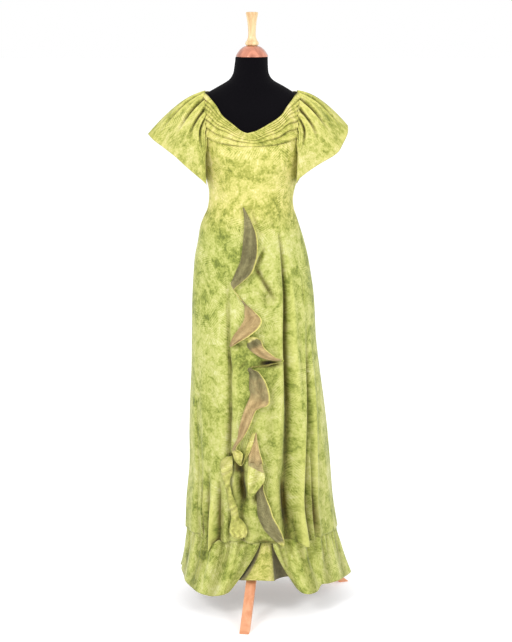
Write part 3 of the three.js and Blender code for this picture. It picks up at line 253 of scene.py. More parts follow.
BAND_PLEATS = np.array([0, 0.26, 0.47, 0.6, 0.71, 0.8, 0.89, 1])
BAND_PLEAT = Sizes(height=6, steep=0.4, flat_z=1325)
BAND_STANDS_OFF = 0.4
NECK_SKEW = Sizes(turn=-5.0, at=0.12, spread=0.34)  # the neckline's lowest place, off centre
SLEEVE_PLEAT_SHARP = 0.55
SLEEVE_PLEAT_DEEP = 1.4
SLEEVE_PLEAT_REACH = 1.3
SLEEVE_GATHER = 1.1
SLEEVE_FLUTTER = 2.2
SLEEVE_HEAD = Sizes(up=9, inward=15, spread=38)

# Soft troughs (depth above 0) and ridges (below 0) along a line on the gown:
# angle and z of its two ends, half width and depth in millimetres.
CREASES = [
    (-0.9, 1152, 13.3, 1076, 3.6, 6.5), (-13, 1154, -9.6, 1128, 3.4, 5), (-4, 1150, 0, 1118, 4, 3.5),
    (14, 1146, 19, 1092, 5, 2.4), (-22, 1138, -26, 1080, 6, 2.4), (26, 1140, 30, 1076, 6, 2.4),
    (13.6, 1036, 3.5, 985, 4.6, 13), (4.5, 985, 20.6, 900, 6.4, 15), (18, 1010, 25, 905, 11, -6),
    (-2, 965, 17, 905, 10, -5), (35.4, 1072, 34.4, 820, 6, 14), (34.8, 900, 30.5, 600, 7, 9),
    (57.9, 723, 47, 330, 3.6, 8), (-24.2, 930, -24.5, 560, 7, 8), (-25, 600, -27.5, 440, 8, 10),
    (57, 940, 55, 880, 3, 4), (-26, 745, -22, 690, 4, 6), (-7.8, 726, -16, 700, 5, 8),
    (4.7, 722, 19, 719, 7, 12), (-22.8, 425, -10, 330, 10, 14), (-56, 370, -48, 215, 3.4, 12),
    (-51.5, 240, -43, 120, 3.4, 12), (-34.8, 380, -34.6, 150, 4, 13), (-23, 310, -28, 180, 5, 9),
    (27, 310, 28.5, 160, 4.5, 10), (16, 430, 24, 262, 11, 10), (-66, 600, -59, 240, 5, 5),
    (51, 470, 45, 190, 5, 14), (-20, 500, -24, 440, 6, 8), (-14, 400, -8, 260, 9, 7),
    (120, 1100, 124, 860, 5, 4), (152, 1120, 149, 900, 4, 5), (186, 1115, 183, 820, 4, 6),
    (214, 1105, 217, 880, 5, 4), (240, 1080, 236, 800, 4, 5),
]

# Deep places given painted shade, where little light falls: angle, z, half width and half height in
# millimetres, strength.
SHADED = [
    (13, 721, 20, 8, 2.4), (-25, 461, 9, 8, 0.8), (-19.4, 444, 8, 9, 0.9), (-52, 320, 4.5, 30, 0.8),
    (-49.3, 250, 4.5, 34, 0.9), (-13.6, 774, 12, 7, 0.7), (-16.4, 420, 16, 9, 0.9),
    (-3.3, 345, 6, 14, 0.9), (-15, 372, 19, 46, 0.45), (-17.4, 430, 8, 9, 1.0), (-35.5, 210, 8, 11, 0.8),
    (-23.8, 249, 5, 14, 0.8), (5, 222, 34, 6, 0.8), (20, 320, 11, 55, 0.5), (47.2, 285, 9, 72, 0.8),
    (12, 905, 12, 26, 0.35), (6, 975, 8, 10, 0.6),
]

# The ends of folds that hang over the flounce: angle, half width, drop and how far they stand off.
TONGUES = [
    (-43, 6.4, 36, 12), (-29.8, 4, 8, 12), (35.2, 6.9, 16, 13),
    (118, 6, 26, 10), (150, 6, 36, 12), (176, 6, 20, 10), (205, 6, 34, 12), (238, 6, 24, 10),
]
TONGUE_REACH = 130        # how far up the skirt they start

# Slow waves of hanging cloth: turns round the gown, start in degrees, height for a radian, share.
DRAPE_WAVES = [(9, 40, 170, 1), (14, 0, -120, 0.7), (23, 80, 95, 0.5)]
DRAPE_RELIEF = 0.9

# Each sheet: the solid that it stands for, its flat size and area in metres, and how it is held.
SHEETS = {
    "front_cloth": ("front_centre", (0.22, 1.13), 0.215, "hung"),
    "side_left_cloth": ("side_front_left", (0.27, 1.13), 0.21, "hung"),
    "side_right_cloth": ("side_front_right", (0.25, 1.13), 0.19, "hung"),
    "back_cloth": ("back", (0.72, 1.26), 0.69, "hung"),
    "neck_band_cloth": ("neck_band", (0.50, 0.15), 0.038, "folded"),
    "sleeve_right_cloth": ("sleeve_right", (0.62, 0.19), 0.08, "gathered"),
    "sleeve_left_cloth": ("sleeve_left", (0.62, 0.19), 0.08, "gathered"),
    "cascade_cloth": ("front_cascade", (0.09, 1.30), 0.05, "gathered"),
    "cascade_corner_cloth": ("front_cascade", (0.06, 0.10), 0.0042, "folded"),
    "cascade_ruffle_cloth": ("front_cascade", (0.07, 0.25), 0.012, "gathered"),
    "flounce_left_cloth": ("hem_flounce_left", (0.80, 0.18), 0.115, "gathered"),
    "flounce_right_cloth": ("hem_flounce_right", (0.80, 0.18), 0.115, "gathered"),
    "flounce_under_cloth": ("hem_under_flounce", (0.19, 0.16), 0.024, "gathered"),
}
# Where pieces start on the length of cloth, in metres, so that their patterns differ.
CUT_FROM = {"band": 2.3, "sleeve": 3.1, "cascade": 5, "flounce": 7}
SLEEVE_CUT = Sizes(round=0.78, down=0.17, between=0.37)

# Small steps, in each surface's own measures, for the way it faces.
GOWN_STEPS = (0.4, 0.8)
SLEEVE_STEPS = (0.5, 0.01)
FLOUNCE_STEPS = (0.4, 0.01)

# How many points each mesh has, across and down it. A flounce has one every so many degrees, and
# its length is measured along one of its rows.
FRONT_COLUMNS = 90
SIDE_COLUMNS = 130
BACK_COLUMNS = 241
SKIRT_ROWS = Sizes(fine=30, to_z=360, long=140)
BODICE_ROWS = 14
BACK_ROWS = Sizes(middle=16, top=20)
BAND_GRID = (301, 130)
SLEEVE_GRID = (260, 64)
CASCADE_GRID = (500, 19)
CORNER_GRID = (40, 21)
RUFFLE_GRID = (160, 25)
FLOUNCE_GRID = Sizes(degrees=0.5, rows=44, measured=20)
TORSO_SIDES = 128
TURNED_SIDES = 72
POLE_SIDES = 48

# Colours, as the eye sees them: the cloth's face from its deepest to its palest mottling.
BROCADE_TONES = [
    (0.0, (92, 98, 36)), (0.28, (127, 133, 50)), (0.46, (165, 166, 74)), (0.62, (197, 193, 104)),
    (0.82, (216, 206, 128)), (1.0, (230, 220, 158)),
]
REVERSE_TONES = [(0.0, (78, 72, 46)), (0.4, (122, 116, 76)), (0.7, (152, 146, 100)), (1.0, (182, 172, 126))]
FADED_TONES = [(0.0, (116, 98, 62)), (0.4, (164, 138, 92)), (0.7, (196, 170, 118)), (1.0, (222, 198, 148))]
# Painted light: the tone of painted shade in hollows, of a painted highlight on ridges and edges, of the
# darker, greener painted shade below the waist, and of near-black painted shade at the deepest.
PAINTED_SHADE_TONE = (118, 104, 52)
PAINTED_HIGHLIGHT_TONE = (230, 219, 124)
PAINTED_LOW_SHADE_TONE = (232, 243, 240)
PAINTED_DEEP_SHADE_TONE = (70, 66, 50)
# The relief, in millimetres, that counts as a full fold, and the turns to each side that it is held against,
# for painted shade and highlight; then painted shade towards the hem and in the folds' hollows.
HOLLOW_DEPTH = 13
HOLLOW_REACH = (-5, -2.5, 2.5, 5)
LOW_SHADE = 0.08
FOLD_SHADE = 0.84
# Feathery leaves: cells to a metre, the pattern's start, then a leaf's half length and width, the
# pitch of its barbs and how far its rib bends.
BIG_LEAVES = (6.2, (0, 0, 0), 0.085, 0.034, 0.0075, 5)
SMALL_LEAVES = (9.5, (1.7, 0.9, 0), 0.056, 0.023, 0.0055, 8)
THREAD_PITCH = 0.0016
# How much blotches, flecks and stipple count on the cloth's face and on its reverse.
FACE_SHARES = (0.44, 0.48, 0.38)
REVERSE_SHARES = (0.3, 0.3, 0.2)

# The studio, in metres. A light: where it stands, its size and its power.
LIGHTS = {"key": ((-2.0, -3.2, 3.2), 1.0, 62), "fill": ((2.3, -3.0, 2.9), 1.2, 44)}
LIGHT_AIM = (0, 0, 1.1)
FLOOR_HALF = 40.0
CAMERA = Sizes(lens=98.64, sensor=36, far=200, x=0.011, y=-4.9005, z=1.7424, down=10.7)


# ---------- Tables and shapes ----------

def along(rows, key, place, column):
    """Smooth value of one column of a table, at places along its key column."""
    keys = rows[key]
    values = rows[column]
    at = np.clip(place, keys[0], keys[-1])
    i = np.clip(np.searchsorted(keys, at, side="left") - 1, 0, len(keys) - 2)
    slope = np.empty(len(keys))
    slope[1:-1] = (values[2:] - values[:-2]) / (keys[2:] - keys[:-2])
    slope[0] = (values[1] - values[0]) / (keys[1] - keys[0])
    slope[-1] = (values[-1] - values[-2]) / (keys[-1] - keys[-2])
    span = keys[i + 1] - keys[i]
    t = (at - keys[i]) / span
    low = (2 * t ** 3 - 3 * t ** 2 + 1) * values[i] + (t ** 3 - 2 * t ** 2 + t) * span * slope[i]
    high = (3 * t ** 2 - 2 * t ** 3) * values[i + 1] + (t ** 3 - t ** 2) * span * slope[i + 1]
    return low + high


def read(rows, key, place, columns):
    """Several columns of a table, at places along its key column."""
    return [along(rows, key, place, column) for column in columns.split()]


def armhole(turn):
    """Angle and height of an armhole's front edge, turned from its top (0) to the armpit (180)."""
    return read(ARMHOLE, "turn", turn, "angle z")


def smooth(value, low, high):
    t = np.clip((value - low) / (high - low), 0, 1)
    return t * t * (3 - 2 * t)


def sin_of(angle):
    return np.sin(np.radians(angle))


def cos_of(angle):
    return np.cos(np.radians(angle))


def wrap(angle):
    return angle - 360 * np.round(angle / 360)


def run_along(points):
    """How far along a line each of its points lies."""
    return np.concatenate([[0], np.cumsum(np.linalg.norm(np.diff(points, axis=0), axis=-1))])


def spread_out(across, down):
    """Two rows of values as the columns and rows of a grid."""
    return np.broadcast_arrays(across[None, :], down[:, None])


def section(rows, z):
    return read(rows, "z", z, "xc a bf bb")


def section_point(shape, angle, out, z):
    xc, a, bf, bb = shape
    ahead = cos_of(angle)
    depth = np.where(ahead > 0, bf, bb)
    return np.stack([xc + (a + out) * sin_of(angle), -(depth + out) * ahead, z + 0 * angle], -1)


def bust_relief(angle, z):
    across = (np.abs(wrap(angle)) - BUST.angle) / BUST.spread
    up = (z - BUST.z) / BUST.height
    return BUST.out * np.exp(-across ** 2 - up ** 2)


def gown_section(z):
    height, low, high = SHOULDER_LIFT
    bodice = section(FORM, z - height * smooth(z, low, high))
    skirt = section(SKIRT, z)
    upper = smooth(z, *WAIST_BLEND)
    ease = (0, BODICE_EASE, BODICE_EASE, BODICE_EASE)
    return [s + (b + e - s) * upper for s, b, e in zip(skirt, bodice, ease)]


def panel_edges(panel, z):
    right, left, side = read(SEAMS, "z", z, "right left side")
    return {"front": (right, left), "left": (left, side), "right": (right, -side),
            "back": (side, 360 - side)}[panel]


def fold_centre(panel, hip, hem, z):
    across = hem + (hip - hem) * smooth(z, SKIRT_HEM_Z, HIP_Z)
    low, high = panel_edges(panel, z)
    return low + (high - low) * across


def fold_relief(angle, z):
    relief = 0 * angle
    away, height = FOLD_RIDGE
    for panel, hip, hem, top, full, depth, narrow, wide in FOLDS:
        width = wide + (narrow - wide) * smooth(z, SKIRT_HEM_Z, top)
        t = wrap(angle - fold_centre(panel, hip, hem, z)) / width
        shape = height * np.exp(-(np.abs(t) - away) ** 2) - np.exp(-t ** 2)
        relief = relief + depth * smooth(-z, -top, -full) * shape
    return relief


def round_mm(z):
    """Millimetres along the gown's front for each degree."""
    return gown_section(z)[1] * FRONT_ROUNDNESS * math.pi / 180


def crease_relief(angle, z):
    """The creases' relief; distances are measured in millimetres on the gown."""
    scale = round_mm(z)
    relief = 0 * angle
    for angle_0, z_0, angle_1, z_1, width, depth in CREASES:
        across = wrap(angle - angle_0) * scale
        length_x = (angle_1 - angle_0) * scale
        length_z = z_1 - z_0
        t = (across * length_x + (z - z_0) * length_z) / (length_x ** 2 + length_z ** 2)
        t = np.clip(t, 0, 1)
        away = (across - t * length_x) ** 2 + (z - z_0 - t * length_z) ** 2
        relief = relief - depth * np.sin(math.pi * (0.12 + 0.76 * t)) * np.exp(-away / width ** 2)
    return relief


def drape_relief(angle, z):
    """Low, slow unevenness of hanging cloth, more towards the hem."""
    waves = sum(share * np.sin(np.radians(angle * turns + start) + z / height)
                for turns, start, height, share in DRAPE_WAVES)
    return smooth(-z, -1120, -300) * DRAPE_RELIEF * waves


def gown_point(angle, z, out=0.0):
    relief = bust_relief(angle, z) + fold_relief(angle, z)
    return section_point(gown_section(z), angle, relief + out, z)


def surface_normal(surface, p, q, steps, facing):
    """Which way a surface faces at its places p and q, from points a small step to each side."""
    step_p, step_q = steps
    dp = surface(p + step_p, q) - surface(p - step_p, q)
    dq = surface(p, q + step_q) - surface(p, q - step_q)
    normal = np.cross(dp, dq)
    return facing * normal / np.maximum(np.linalg.norm(normal, axis=-1, keepdims=True), 1e-9)


# ---------- Meshes and pieces ----------

def in_frame(points):
    """Millimetres from the pole, as metres in the row's frame."""
    placed = np.array(points, float) / 1000
    placed[..., 0] += POLE_X
    placed[..., 1] += POLE_Y
    return placed


def link_object(name, data):
    placed = bpy.data.objects.new(name, data)
    bpy.context.scene.collection.objects.link(placed)
    return placed


def add_mesh(name, points, faces, *materials, rounded=True):
    """An object with a mesh over points in metres, shaded smooth or flat."""
    mesh = bpy.data.meshes.new(name)
    mesh.from_pydata(points.reshape(-1, 3).tolist(), [], faces)
    mesh.polygons.foreach_set("use_smooth", np.full(len(faces), rounded))
    for material in materials:
        mesh.materials.append(material)
    return link_object(name, mesh)


def grid_squares(rows, columns, closed):
    """Row and column of each square of a grid of points, and the squares as faces."""
    i, j = np.meshgrid(np.arange(rows - 1), np.arange(columns if closed else columns - 1), indexing="ij")
    right = (j + 1) % columns
    corners = [(i, j), (i, right), (i + 1, right), (i + 1, j)]
    return i, j, np.stack([a * columns + b for a, b in corners], -1).reshape(-1, 4).tolist()


def add_cloth(name, grid, uv, marks, turned=False, closed=False, offset=-1.0):
    """A sheet of cloth over a grid of points in millimetres, with a UV map in metres.

    Marks are named values from 0 to 1, one for each point, that the material reads. A turned
    sheet shows its face in places and its reverse in others.
    """
    i, j, faces = grid_squares(*grid.shape[:2], closed)
    sides = (TURNED, BROCADE) if turned else (BROCADE, REVERSE)
    piece = add_mesh(name, in_frame(grid), faces, *sides)
    layer = piece.data.uv_layers.new(name="cloth")
    corners = [uv[i, j], uv[i, j + 1], uv[i + 1, j + 1], uv[i + 1, j]]
    layer.data.foreach_set("uv", np.stack(corners, -2).ravel().astype(np.float32))
    for key, values in marks.items():
        mark = piece.data.attributes.new(key, "FLOAT", "POINT")
        mark.data.foreach_set("value", np.clip(values + 0 * grid[..., 0], 0, 1).ravel().astype(np.float32))
    thicken(piece, offset)
    node, flat, area, held = SHEETS[name]
    settle(piece, node)


def thicken(piece, offset):
    """Gives a sheet its cloth's thickness, with the other side of the cloth behind."""
    solid = piece.modifiers.new("cloth thickness", "SOLIDIFY")
    solid.thickness = CLOTH / 1000
    solid.offset = offset
    solid.material_offset = 1
    solid.material_offset_rim = 0


def settle(piece, node):
    """A finished piece rides on the row's one body and stands for its CAD node."""
    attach(piece, "root")
    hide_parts(node)


def body_uv(angle, z):
    """Cloth places on the body: round it and up it, in metres."""
    shape = gown_section(z)
    around = np.radians(wrap(angle - 180) if np.min(angle) > 60 else angle)
    return np.stack([around * (shape[1] + shape[2]) / 2000 + 0 * z, z / 1000 + 0 * angle], -1)


# ---------- Bodice and skirt ----------

def skirt_hem_drop(angle):
    """How far the ends of the skirt's folds hang over the flounce."""
    drop = 0 * angle
    for at, half, length, _ in TONGUES:
        drop = drop + length * np.exp(-(wrap(angle - at) / half) ** 4)
    return drop


def tongue_relief(angle, z):
    """The ends of the folds stand off, and the cloth pinches in beside them."""
    low = 1 - smooth(z, SKIRT_HEM_Z - 30, SKIRT_HEM_Z + TONGUE_REACH)
    relief = 0 * angle
    for at, half, _, out in TONGUES:
        t = wrap(angle - at) / half
        relief = relief + out * np.exp(-t ** 2) - 0.2 * out * np.exp(-(np.abs(t) - 1.6) ** 2 / 0.18)
    return low * relief


def hang(z, angle):
    """Lowers the skirt's last stretch so that the folds' ends overhang the flounce."""
    reach = 1 - smooth(z, SKIRT_HEM_Z, SKIRT_HEM_Z + TONGUE_REACH)
    return z - skirt_hem_drop(angle) * reach


def band_seam_z(across):
    """Height of the seam under the neck band, at angles from the centre."""
    part = np.minimum(across / BAND_SEAM.angle, 1)
    return BAND_SEAM.centre_z + BAND_SEAM.rise * part ** BAND_SEAM.power


def front_top(angle):
    """The upper edge of the front panels: the band seam, then the armhole."""
    across = np.abs(angle)
    turns = np.linspace(BAND_SEAM.turn, 180, 200)
    turn = np.interp(across, armhole(turns)[0], turns)
    return np.where(across <= BAND_SEAM.angle, band_seam_z(across), armhole(turn)[1])


def skirt_rows(top):
    """Heights from the hem up, closer together near the hem."""
    low = np.linspace(SKIRT_HEM_Z, SKIRT_ROWS.to_z, SKIRT_ROWS.fine)[:-1]
    return np.concatenate([low, np.linspace(SKIRT_ROWS.to_z, top, SKIRT_ROWS.long)])[:, None]


def front_places(panel, columns):
    low = skirt_rows(BODICE_SPLIT_Z)
    low_edge, high_edge = sorted_edges(panel, low)
    low_angle = low_edge + (high_edge - low_edge) * np.linspace(0, 1, columns)[None, :]
    low_z = hang(low + 0 * low_angle, low_angle)
    top = front_top(low_angle[-1:])
    step = np.linspace(0, 1, BODICE_ROWS)[1:, None]
    high_z = BODICE_SPLIT_Z + (top - BODICE_SPLIT_Z) * step
    return np.concatenate([low_angle, low_angle[-1:] + 0 * step]), np.concatenate([low_z, high_z])


def sorted_edges(panel, z):
    edges = panel_edges(panel, z)
    low = np.minimum(*edges)
    return low + placket(z) if panel == "right" else low, np.maximum(*edges)


def placket(z):
    """How far each edge of the right side seam stands back at the waist, in degrees."""
    t = (z - PLACKET.z) / PLACKET.half
    return PLACKET.width / 2 / round_mm(z) * np.maximum(0, 1 - t * t)


def back_places(columns):
    part = np.linspace(-1, 1, columns)[None, :]
    low = skirt_rows(ARMPIT_Z)
    side = along(SEAMS, "z", low, "side")
    low_angle = 180 + part * (180 - side) - placket(low) * np.maximum(part, 0)
    low_z = hang(low + 0 * low_angle, low_angle)
    turn = np.linspace(180, BACK_LOWEST_TURN, BACK_ROWS.middle)[1:, None]
    half, middle_z = back_row(turn, np.abs(part))
    high_angle, high_z = back_patch(np.abs(part), np.linspace(0, 1, BACK_ROWS.top)[1:, None])
    angle = np.concatenate([low_angle, 180 + part * half, 180 + np.sign(part) * high_angle])
    return angle, np.concatenate([low_z, middle_z, high_z])


def back_row(turn, part):
    centre = ARMPIT_Z + (BACK_NECK_Z - ARMPIT_Z) * (180 - turn) / BACK_ROW_SPREAD
    angle, end = armhole(turn)
    return angle, centre + (end - centre) * part ** BACK_EDGE_POWER


def back_patch(part, v):
    """The back's top, from the centre (0) to an armhole (1), v from its widest row to the neck."""
    s = part + (sin_of(part * 90) - part) * v
    low_half, low_z = back_row(BACK_LOWEST_TURN, s)
    high_z = BACK_NECK_Z + (SHOULDER_SEAM.neck_z - BACK_NECK_Z) * smooth(s, 0, 1)
    end_angle, end_z = seam_end(v)
    corner_side = sin_of(low_half)
    corner_z = back_row(BACK_LOWEST_TURN, 1.0)[1]
    side = sin_of(low_half * s) * (1 - v) + s * v + s * (sin_of(end_angle) - corner_side * (1 - v) - v)
    z = low_z * (1 - v) + high_z * v + s * (end_z - corner_z * (1 - v) - SHOULDER_SEAM.neck_z * v)
    return angle_of(side), z


def angle_of(side):
    return np.degrees(np.arcsin(np.clip(side, -1, 1)))


def seam_end(v):
    """Up the armhole, then in along the shoulder seam to the neck."""
    share = SHOULDER_SEAM.share
    angle, z = armhole(BACK_LOWEST_TURN * (1 - np.minimum(v / share, 1)))
    part = np.clip((v - share) / (1 - share), 0, 1)
    seam_z = SHOULDER_SEAM.outer_z + (SHOULDER_SEAM.neck_z - SHOULDER_SEAM.outer_z) * part
    on_seam = v > share
    return np.where(on_seam, 90, angle), np.where(on_seam, seam_z, z)


def fine_relief(angle, z):
    return crease_relief(angle, z) + drape_relief(angle, z) + tongue_relief(angle, z)


def skirt_marks(angle, z):
    """Painted light on the skirt: painted shade where the cloth lies back between folds or in shade, a
    painted highlight where a fold's top stands out, and the darker painted shade below the waist.
    """
    relief = lambda at: fold_relief(at, z) + fine_relief(at, z)
    beside = sum(relief(angle + turn) for turn in HOLLOW_REACH) / len(HOLLOW_REACH)
    proud = (relief(angle) - beside) / HOLLOW_DEPTH
    # Painted shade in the hollows between folds and towards the hem, then in the shaded places.
    painted_shade = FOLD_SHADE * np.clip(-proud, 0, 1) + LOW_SHADE * (1 - smooth(z, 200, 900))
    for at, height, half_across, half_up, strength in SHADED:
        away = (wrap(angle - at) * round_mm(z) / half_across) ** 2 + ((z - height) / half_up) ** 2
        painted_shade = painted_shade + strength * np.exp(-away)
    # Near-black painted shade where the painted shade sums past 1.2; a painted highlight on the folds' tops;
    # the darker painted shade on the skirt below the waist.
    return {"painted_shade": painted_shade, "painted_deep_shade": painted_shade - 1.2, "highlight_and_wear": 0.8 * proud - 0.14,
            "low": 1 - smooth(z, 1040, 1160)}


def add_panel(name, places):
    angle, z = places
    grid = gown_point(angle, z, fine_relief(angle, z))
    add_cloth(name, grid, body_uv(angle, z), skirt_marks(angle, z))


# ---------- Neck band ----------

def band_low_edge(s):
    share = BAND_SEAM.share
    seam_angle = BAND_SEAM.angle * np.minimum(s / share, 1)
    angle, z = armhole(BAND_SEAM.turn * np.clip((1 - s) / (1 - share), 0, 1))
    on_seam = s <= share
    return np.where(on_seam, seam_angle, angle), np.where(on_seam, band_seam_z(seam_angle), z)


def band_grid(s, v):
    part = np.abs(s)
    low_angle, low_z = band_low_edge(part)
    high_angle, high_z = read(NECKLINE, "s", part, "angle z")
    side = sin_of(low_angle) * (1 - v) + sin_of(high_angle) * v
    return np.sign(s) * angle_of(side), low_z * (1 - v) + high_z * v


def band_share(angle, z):
    """How far up the band a place is, along lines that fan from the armholes to the centre."""
    low = band_seam_z(np.abs(angle))
    high = along(NECKLINE, "angle", np.abs(angle), "z")
    return np.clip((z - low) / (high - low), 0, 1)


def band_pleats(angle, z):
    """Soft rolls across the band: their height and hollows, from 0 to 1, and each roll's share."""
    wander = 0.03 * sin_of(angle * 7 + 20) + 0.02 * sin_of(angle * 17)
    share = band_share(angle, z)
    share = np.clip(share + wander * np.sin(math.pi * share), 0, 0.9999)
    pleat = np.clip(np.searchsorted(BAND_PLEATS, share, side="right") - 1, 0, len(BAND_PLEATS) - 2)
    width = BAND_PLEATS[pleat + 1] - BAND_PLEATS[pleat]
    part = (share - BAND_PLEATS[pleat]) / width
    roll = smooth(part, 0, 0.3) * (1 - part ** 2.2)
    uneven = 1 + 0.3 * np.sin(np.radians(angle * 11) + 3.1 * pleat)
    return roll * uneven, 1 - roll, width


def neck_skew(s):
    return NECK_SKEW.turn * np.exp(-((s - NECK_SKEW.at) / NECK_SKEW.spread) ** 2)


def add_neck_band():
    s, v = spread_out(np.linspace(-1, 1, BAND_GRID[0]), np.linspace(0, 1, BAND_GRID[1]))
    even_angle, z = band_grid(s, v)
    roll, between, share = band_pleats(even_angle, z)
    angle = even_angle + neck_skew(s) * v
    base = gown_point(angle, z)
    above = along(NECKLINE, "angle", np.abs(even_angle), "z") - BAND_PLEAT.flat_z
    rise = np.minimum(BAND_PLEAT.height, BAND_PLEAT.steep * share * above)
    normal = surface_normal(gown_point, angle, z, GOWN_STEPS, 1)
    inside = smooth(v, 0, 0.03) * (1 - smooth(v, 0.97, 1))
    grid = base + normal * (BAND_STANDS_OFF + rise * roll * inside)[..., None]
    up = v * np.linalg.norm(base[-1] - base[0], axis=-1)[None, :] / 1000
    uv = np.stack([run_along(base[0])[None, :] / 1000 + 0 * up, up + CUT_FROM["band"]], -1)
    broken = 0.62 + 0.38 * np.sin(np.radians(even_angle * 8) + 40 * share)
    # Painted shade between the rolls, broken along the band, and a painted highlight on the rolls.
    marks = {"painted_shade": 0.8 * broken * smooth(between, 0.5, 1), "highlight_and_wear": 0.5 * roll - 0.25}
    add_cloth("neck_band_cloth", grid, uv, marks)


# ---------- Sleeves ----------

def armhole_point(turn, side):
    front = turn <= 180
    angle, z = armhole(np.where(front, turn, 360 - turn))
    place = side * np.where(front, angle, 180 - angle)
    seam = gown_point(place, z)
    outwards = surface_normal(gown_point, place, z, GOWN_STEPS, 1)
    inwards = gown_point(np.full_like(place, side * 90.0), ARMHOLE_CENTRE_Z + 0 * z) - seam
    inwards = inwards - outwards * np.sum(inwards * outwards, -1, keepdims=True)
    inwards = inwards / np.linalg.norm(inwards, axis=-1, keepdims=True)
    return seam + inwards * SLEEVE_SET.inwards + outwards * SLEEVE_SET.outwards


def plain_sleeve(turn_value, v, side):
    turn = np.mod(turn_value, 360) + 0 * v
    mirror = np.array([side, 1, 1])
    start = armhole_point(turn, side)
    end = np.stack(read(SLEEVE, "turn", turn, "rx ry rz" if side < 0 else "lx ly lz"), -1) * mirror
    bulge = np.stack(read(SLEEVE, "turn", turn, "bx by bz"), -1) * mirror
    control = start + (end - start) * SLEEVE_CONTROL + bulge
    v = v[..., None]
    return start * (1 - v) ** 2 + control * 2 * (1 - v) * v + end * v * v


def sleeve_relief(turn, v):
    relief = 0 * turn * v
    for at, drift, depth, width, reach in SLEEVE_PLEATS:
        far = reach * SLEEVE_PLEAT_REACH
        t = wrap(turn - at - drift * v / far) / (width * SLEEVE_PLEAT_SHARP)
        end = 1 - smooth(v, 0.3 * far, far)
        fade = smooth(v, 0, 0.07) * end
        ridge = 0.35 * np.exp(-(np.abs(t) - 2.0) ** 2)
        relief = relief - SLEEVE_PLEAT_DEEP * depth * fade * (np.exp(-t * t) - ridge)
    gathers = sin_of(turn * 22) + 0.6 * sin_of(turn * 37 + 50)
    return relief + SLEEVE_GATHER * gathers * smooth(v, 0.0, 0.03) * (1 - smooth(v, 0.05, 0.26))


def add_sleeve(name, side):
    columns, rows = SLEEVE_GRID
    turn, v = spread_out(np.linspace(0, 360, columns, endpoint=False), np.linspace(0, 1, rows) ** 1.25)
    plain = lambda t, q: plain_sleeve(t, q, side)
    normal = surface_normal(plain, turn, v, SLEEVE_STEPS, side)
    flutter = SLEEVE_FLUTTER * sin_of(turn * 5 + 30) * smooth(v, 0.5, 1)
    relief = sleeve_relief(turn, v)
    grid = plain(turn, v) + normal * (relief + flutter)[..., None]
    # Painted shade in the pleats, a painted highlight on their ridges and along the hem, and some of the
    # darker painted shade.
    marks = {"painted_shade": 0.04 - relief / 10, "highlight_and_wear": relief / 5 + 0.4 * smooth(v, 0.94, 1),
             "low": 0.35 + 0 * relief}
    head = np.exp(-(wrap(turn) / SLEEVE_HEAD.spread) ** 2) * smooth(v, 0, 0.05) * np.exp(-v / 0.25)
    grid[..., 2] += SLEEVE_HEAD.up * head
    grid[..., 0] -= side * SLEEVE_HEAD.inward * head
    if side < 0:
        grid = grid[:, ::-1]
        marks = {key: value[:, ::-1] for key, value in marks.items()}
    around = np.linspace(0, 1, columns + 1)[None, :] * SLEEVE_CUT.round * side
    down = v[:, :1] * SLEEVE_CUT.down
    up = -down + 0 * around + CUT_FROM["sleeve"] + SLEEVE_CUT.between * side
    add_cloth(name, grid, np.stack([around + 0 * down, up], -1), marks, closed=True)


# ---------- Cascade ----------

def angle_at_x(x, z):
    shape = gown_section(z)
    return np.degrees(np.arcsin(np.clip((x - shape[0]) / shape[1], -1, 1)))


def strip_point(rows, step, v, bulge):
    """A strip between two edges, its middle bulging forward."""
    lower = dressed_point(*read(rows, "step", step, "sx sz so"))
    free = dressed_point(*read(rows, "step", step, "ex ez eo"))
    point = lower + (free - lower) * v[..., None]
    point[..., 1] -= bulge * 4 * v * (1 - v)
    return point


def dressed_point(x, z, out):
    angle = angle_at_x(x, z)
    return gown_point(angle, z, out + fine_relief(angle, z))


def strip_grid(rows, points, bulge):
    """A strip's places along and across it, its points, its UV map and its width at each step."""
    along_it, across = points
    v, step = spread_out(np.linspace(0, 1, across), np.linspace(0, len(rows["step"]) - 1, along_it))
    grid = strip_point(rows, step, v, bulge)
    width = np.linalg.norm(grid[:, -1] - grid[:, 0], axis=-1)[:, None]
    down = run_along(grid[:, across // 2])[:, None] / 1000
    uv = np.stack([width * v / 1000, down + CUT_FROM["cascade"] + 0 * v], -1)
    return step, v, grid, uv, width


def add_strip(name, grid, uv, marks, turned):
    flipped = {key: (values + 0 * grid[..., 0])[:, ::-1] for key, values in marks.items()}
    add_cloth(name, grid[:, ::-1], uv[:, ::-1], flipped, turned, offset=0.0)


def add_cascade():
    step, v, grid, uv, width = strip_grid(CASCADE, CASCADE_GRID, CASCADE_BULGE)
    room = smooth(width, 6, 34)
    lengthwise = np.sin(2 * math.pi * 1.7 * v + 0.6 * step)
    edge = 2.0 * np.sin(step * 5.3) * v ** 2 + 1.0 * np.sin(step * 12.1 + 1) * v ** 3
    grid[..., 1] -= edge + CASCADE_FOLD * room * lengthwise
    back, pink, dark = read(CASCADE, "step", step, "back pink dark")
    rolled = smooth(v, 0.9, 0.98) * smooth(width, 8, 20)
    # Painted shade where the cascade lies shaded and in its lengthwise troughs, and a painted highlight along
    # its rolled free edge.
    marks = {"back": back - rolled, "pink": pink, "highlight_and_wear": 0.8 * rolled,
             "painted_shade": dark + room * 0.3 * (0.5 - 0.5 * lengthwise) * (1 - rolled)}
    add_strip("cascade_cloth", grid, uv, marks, turned=True)


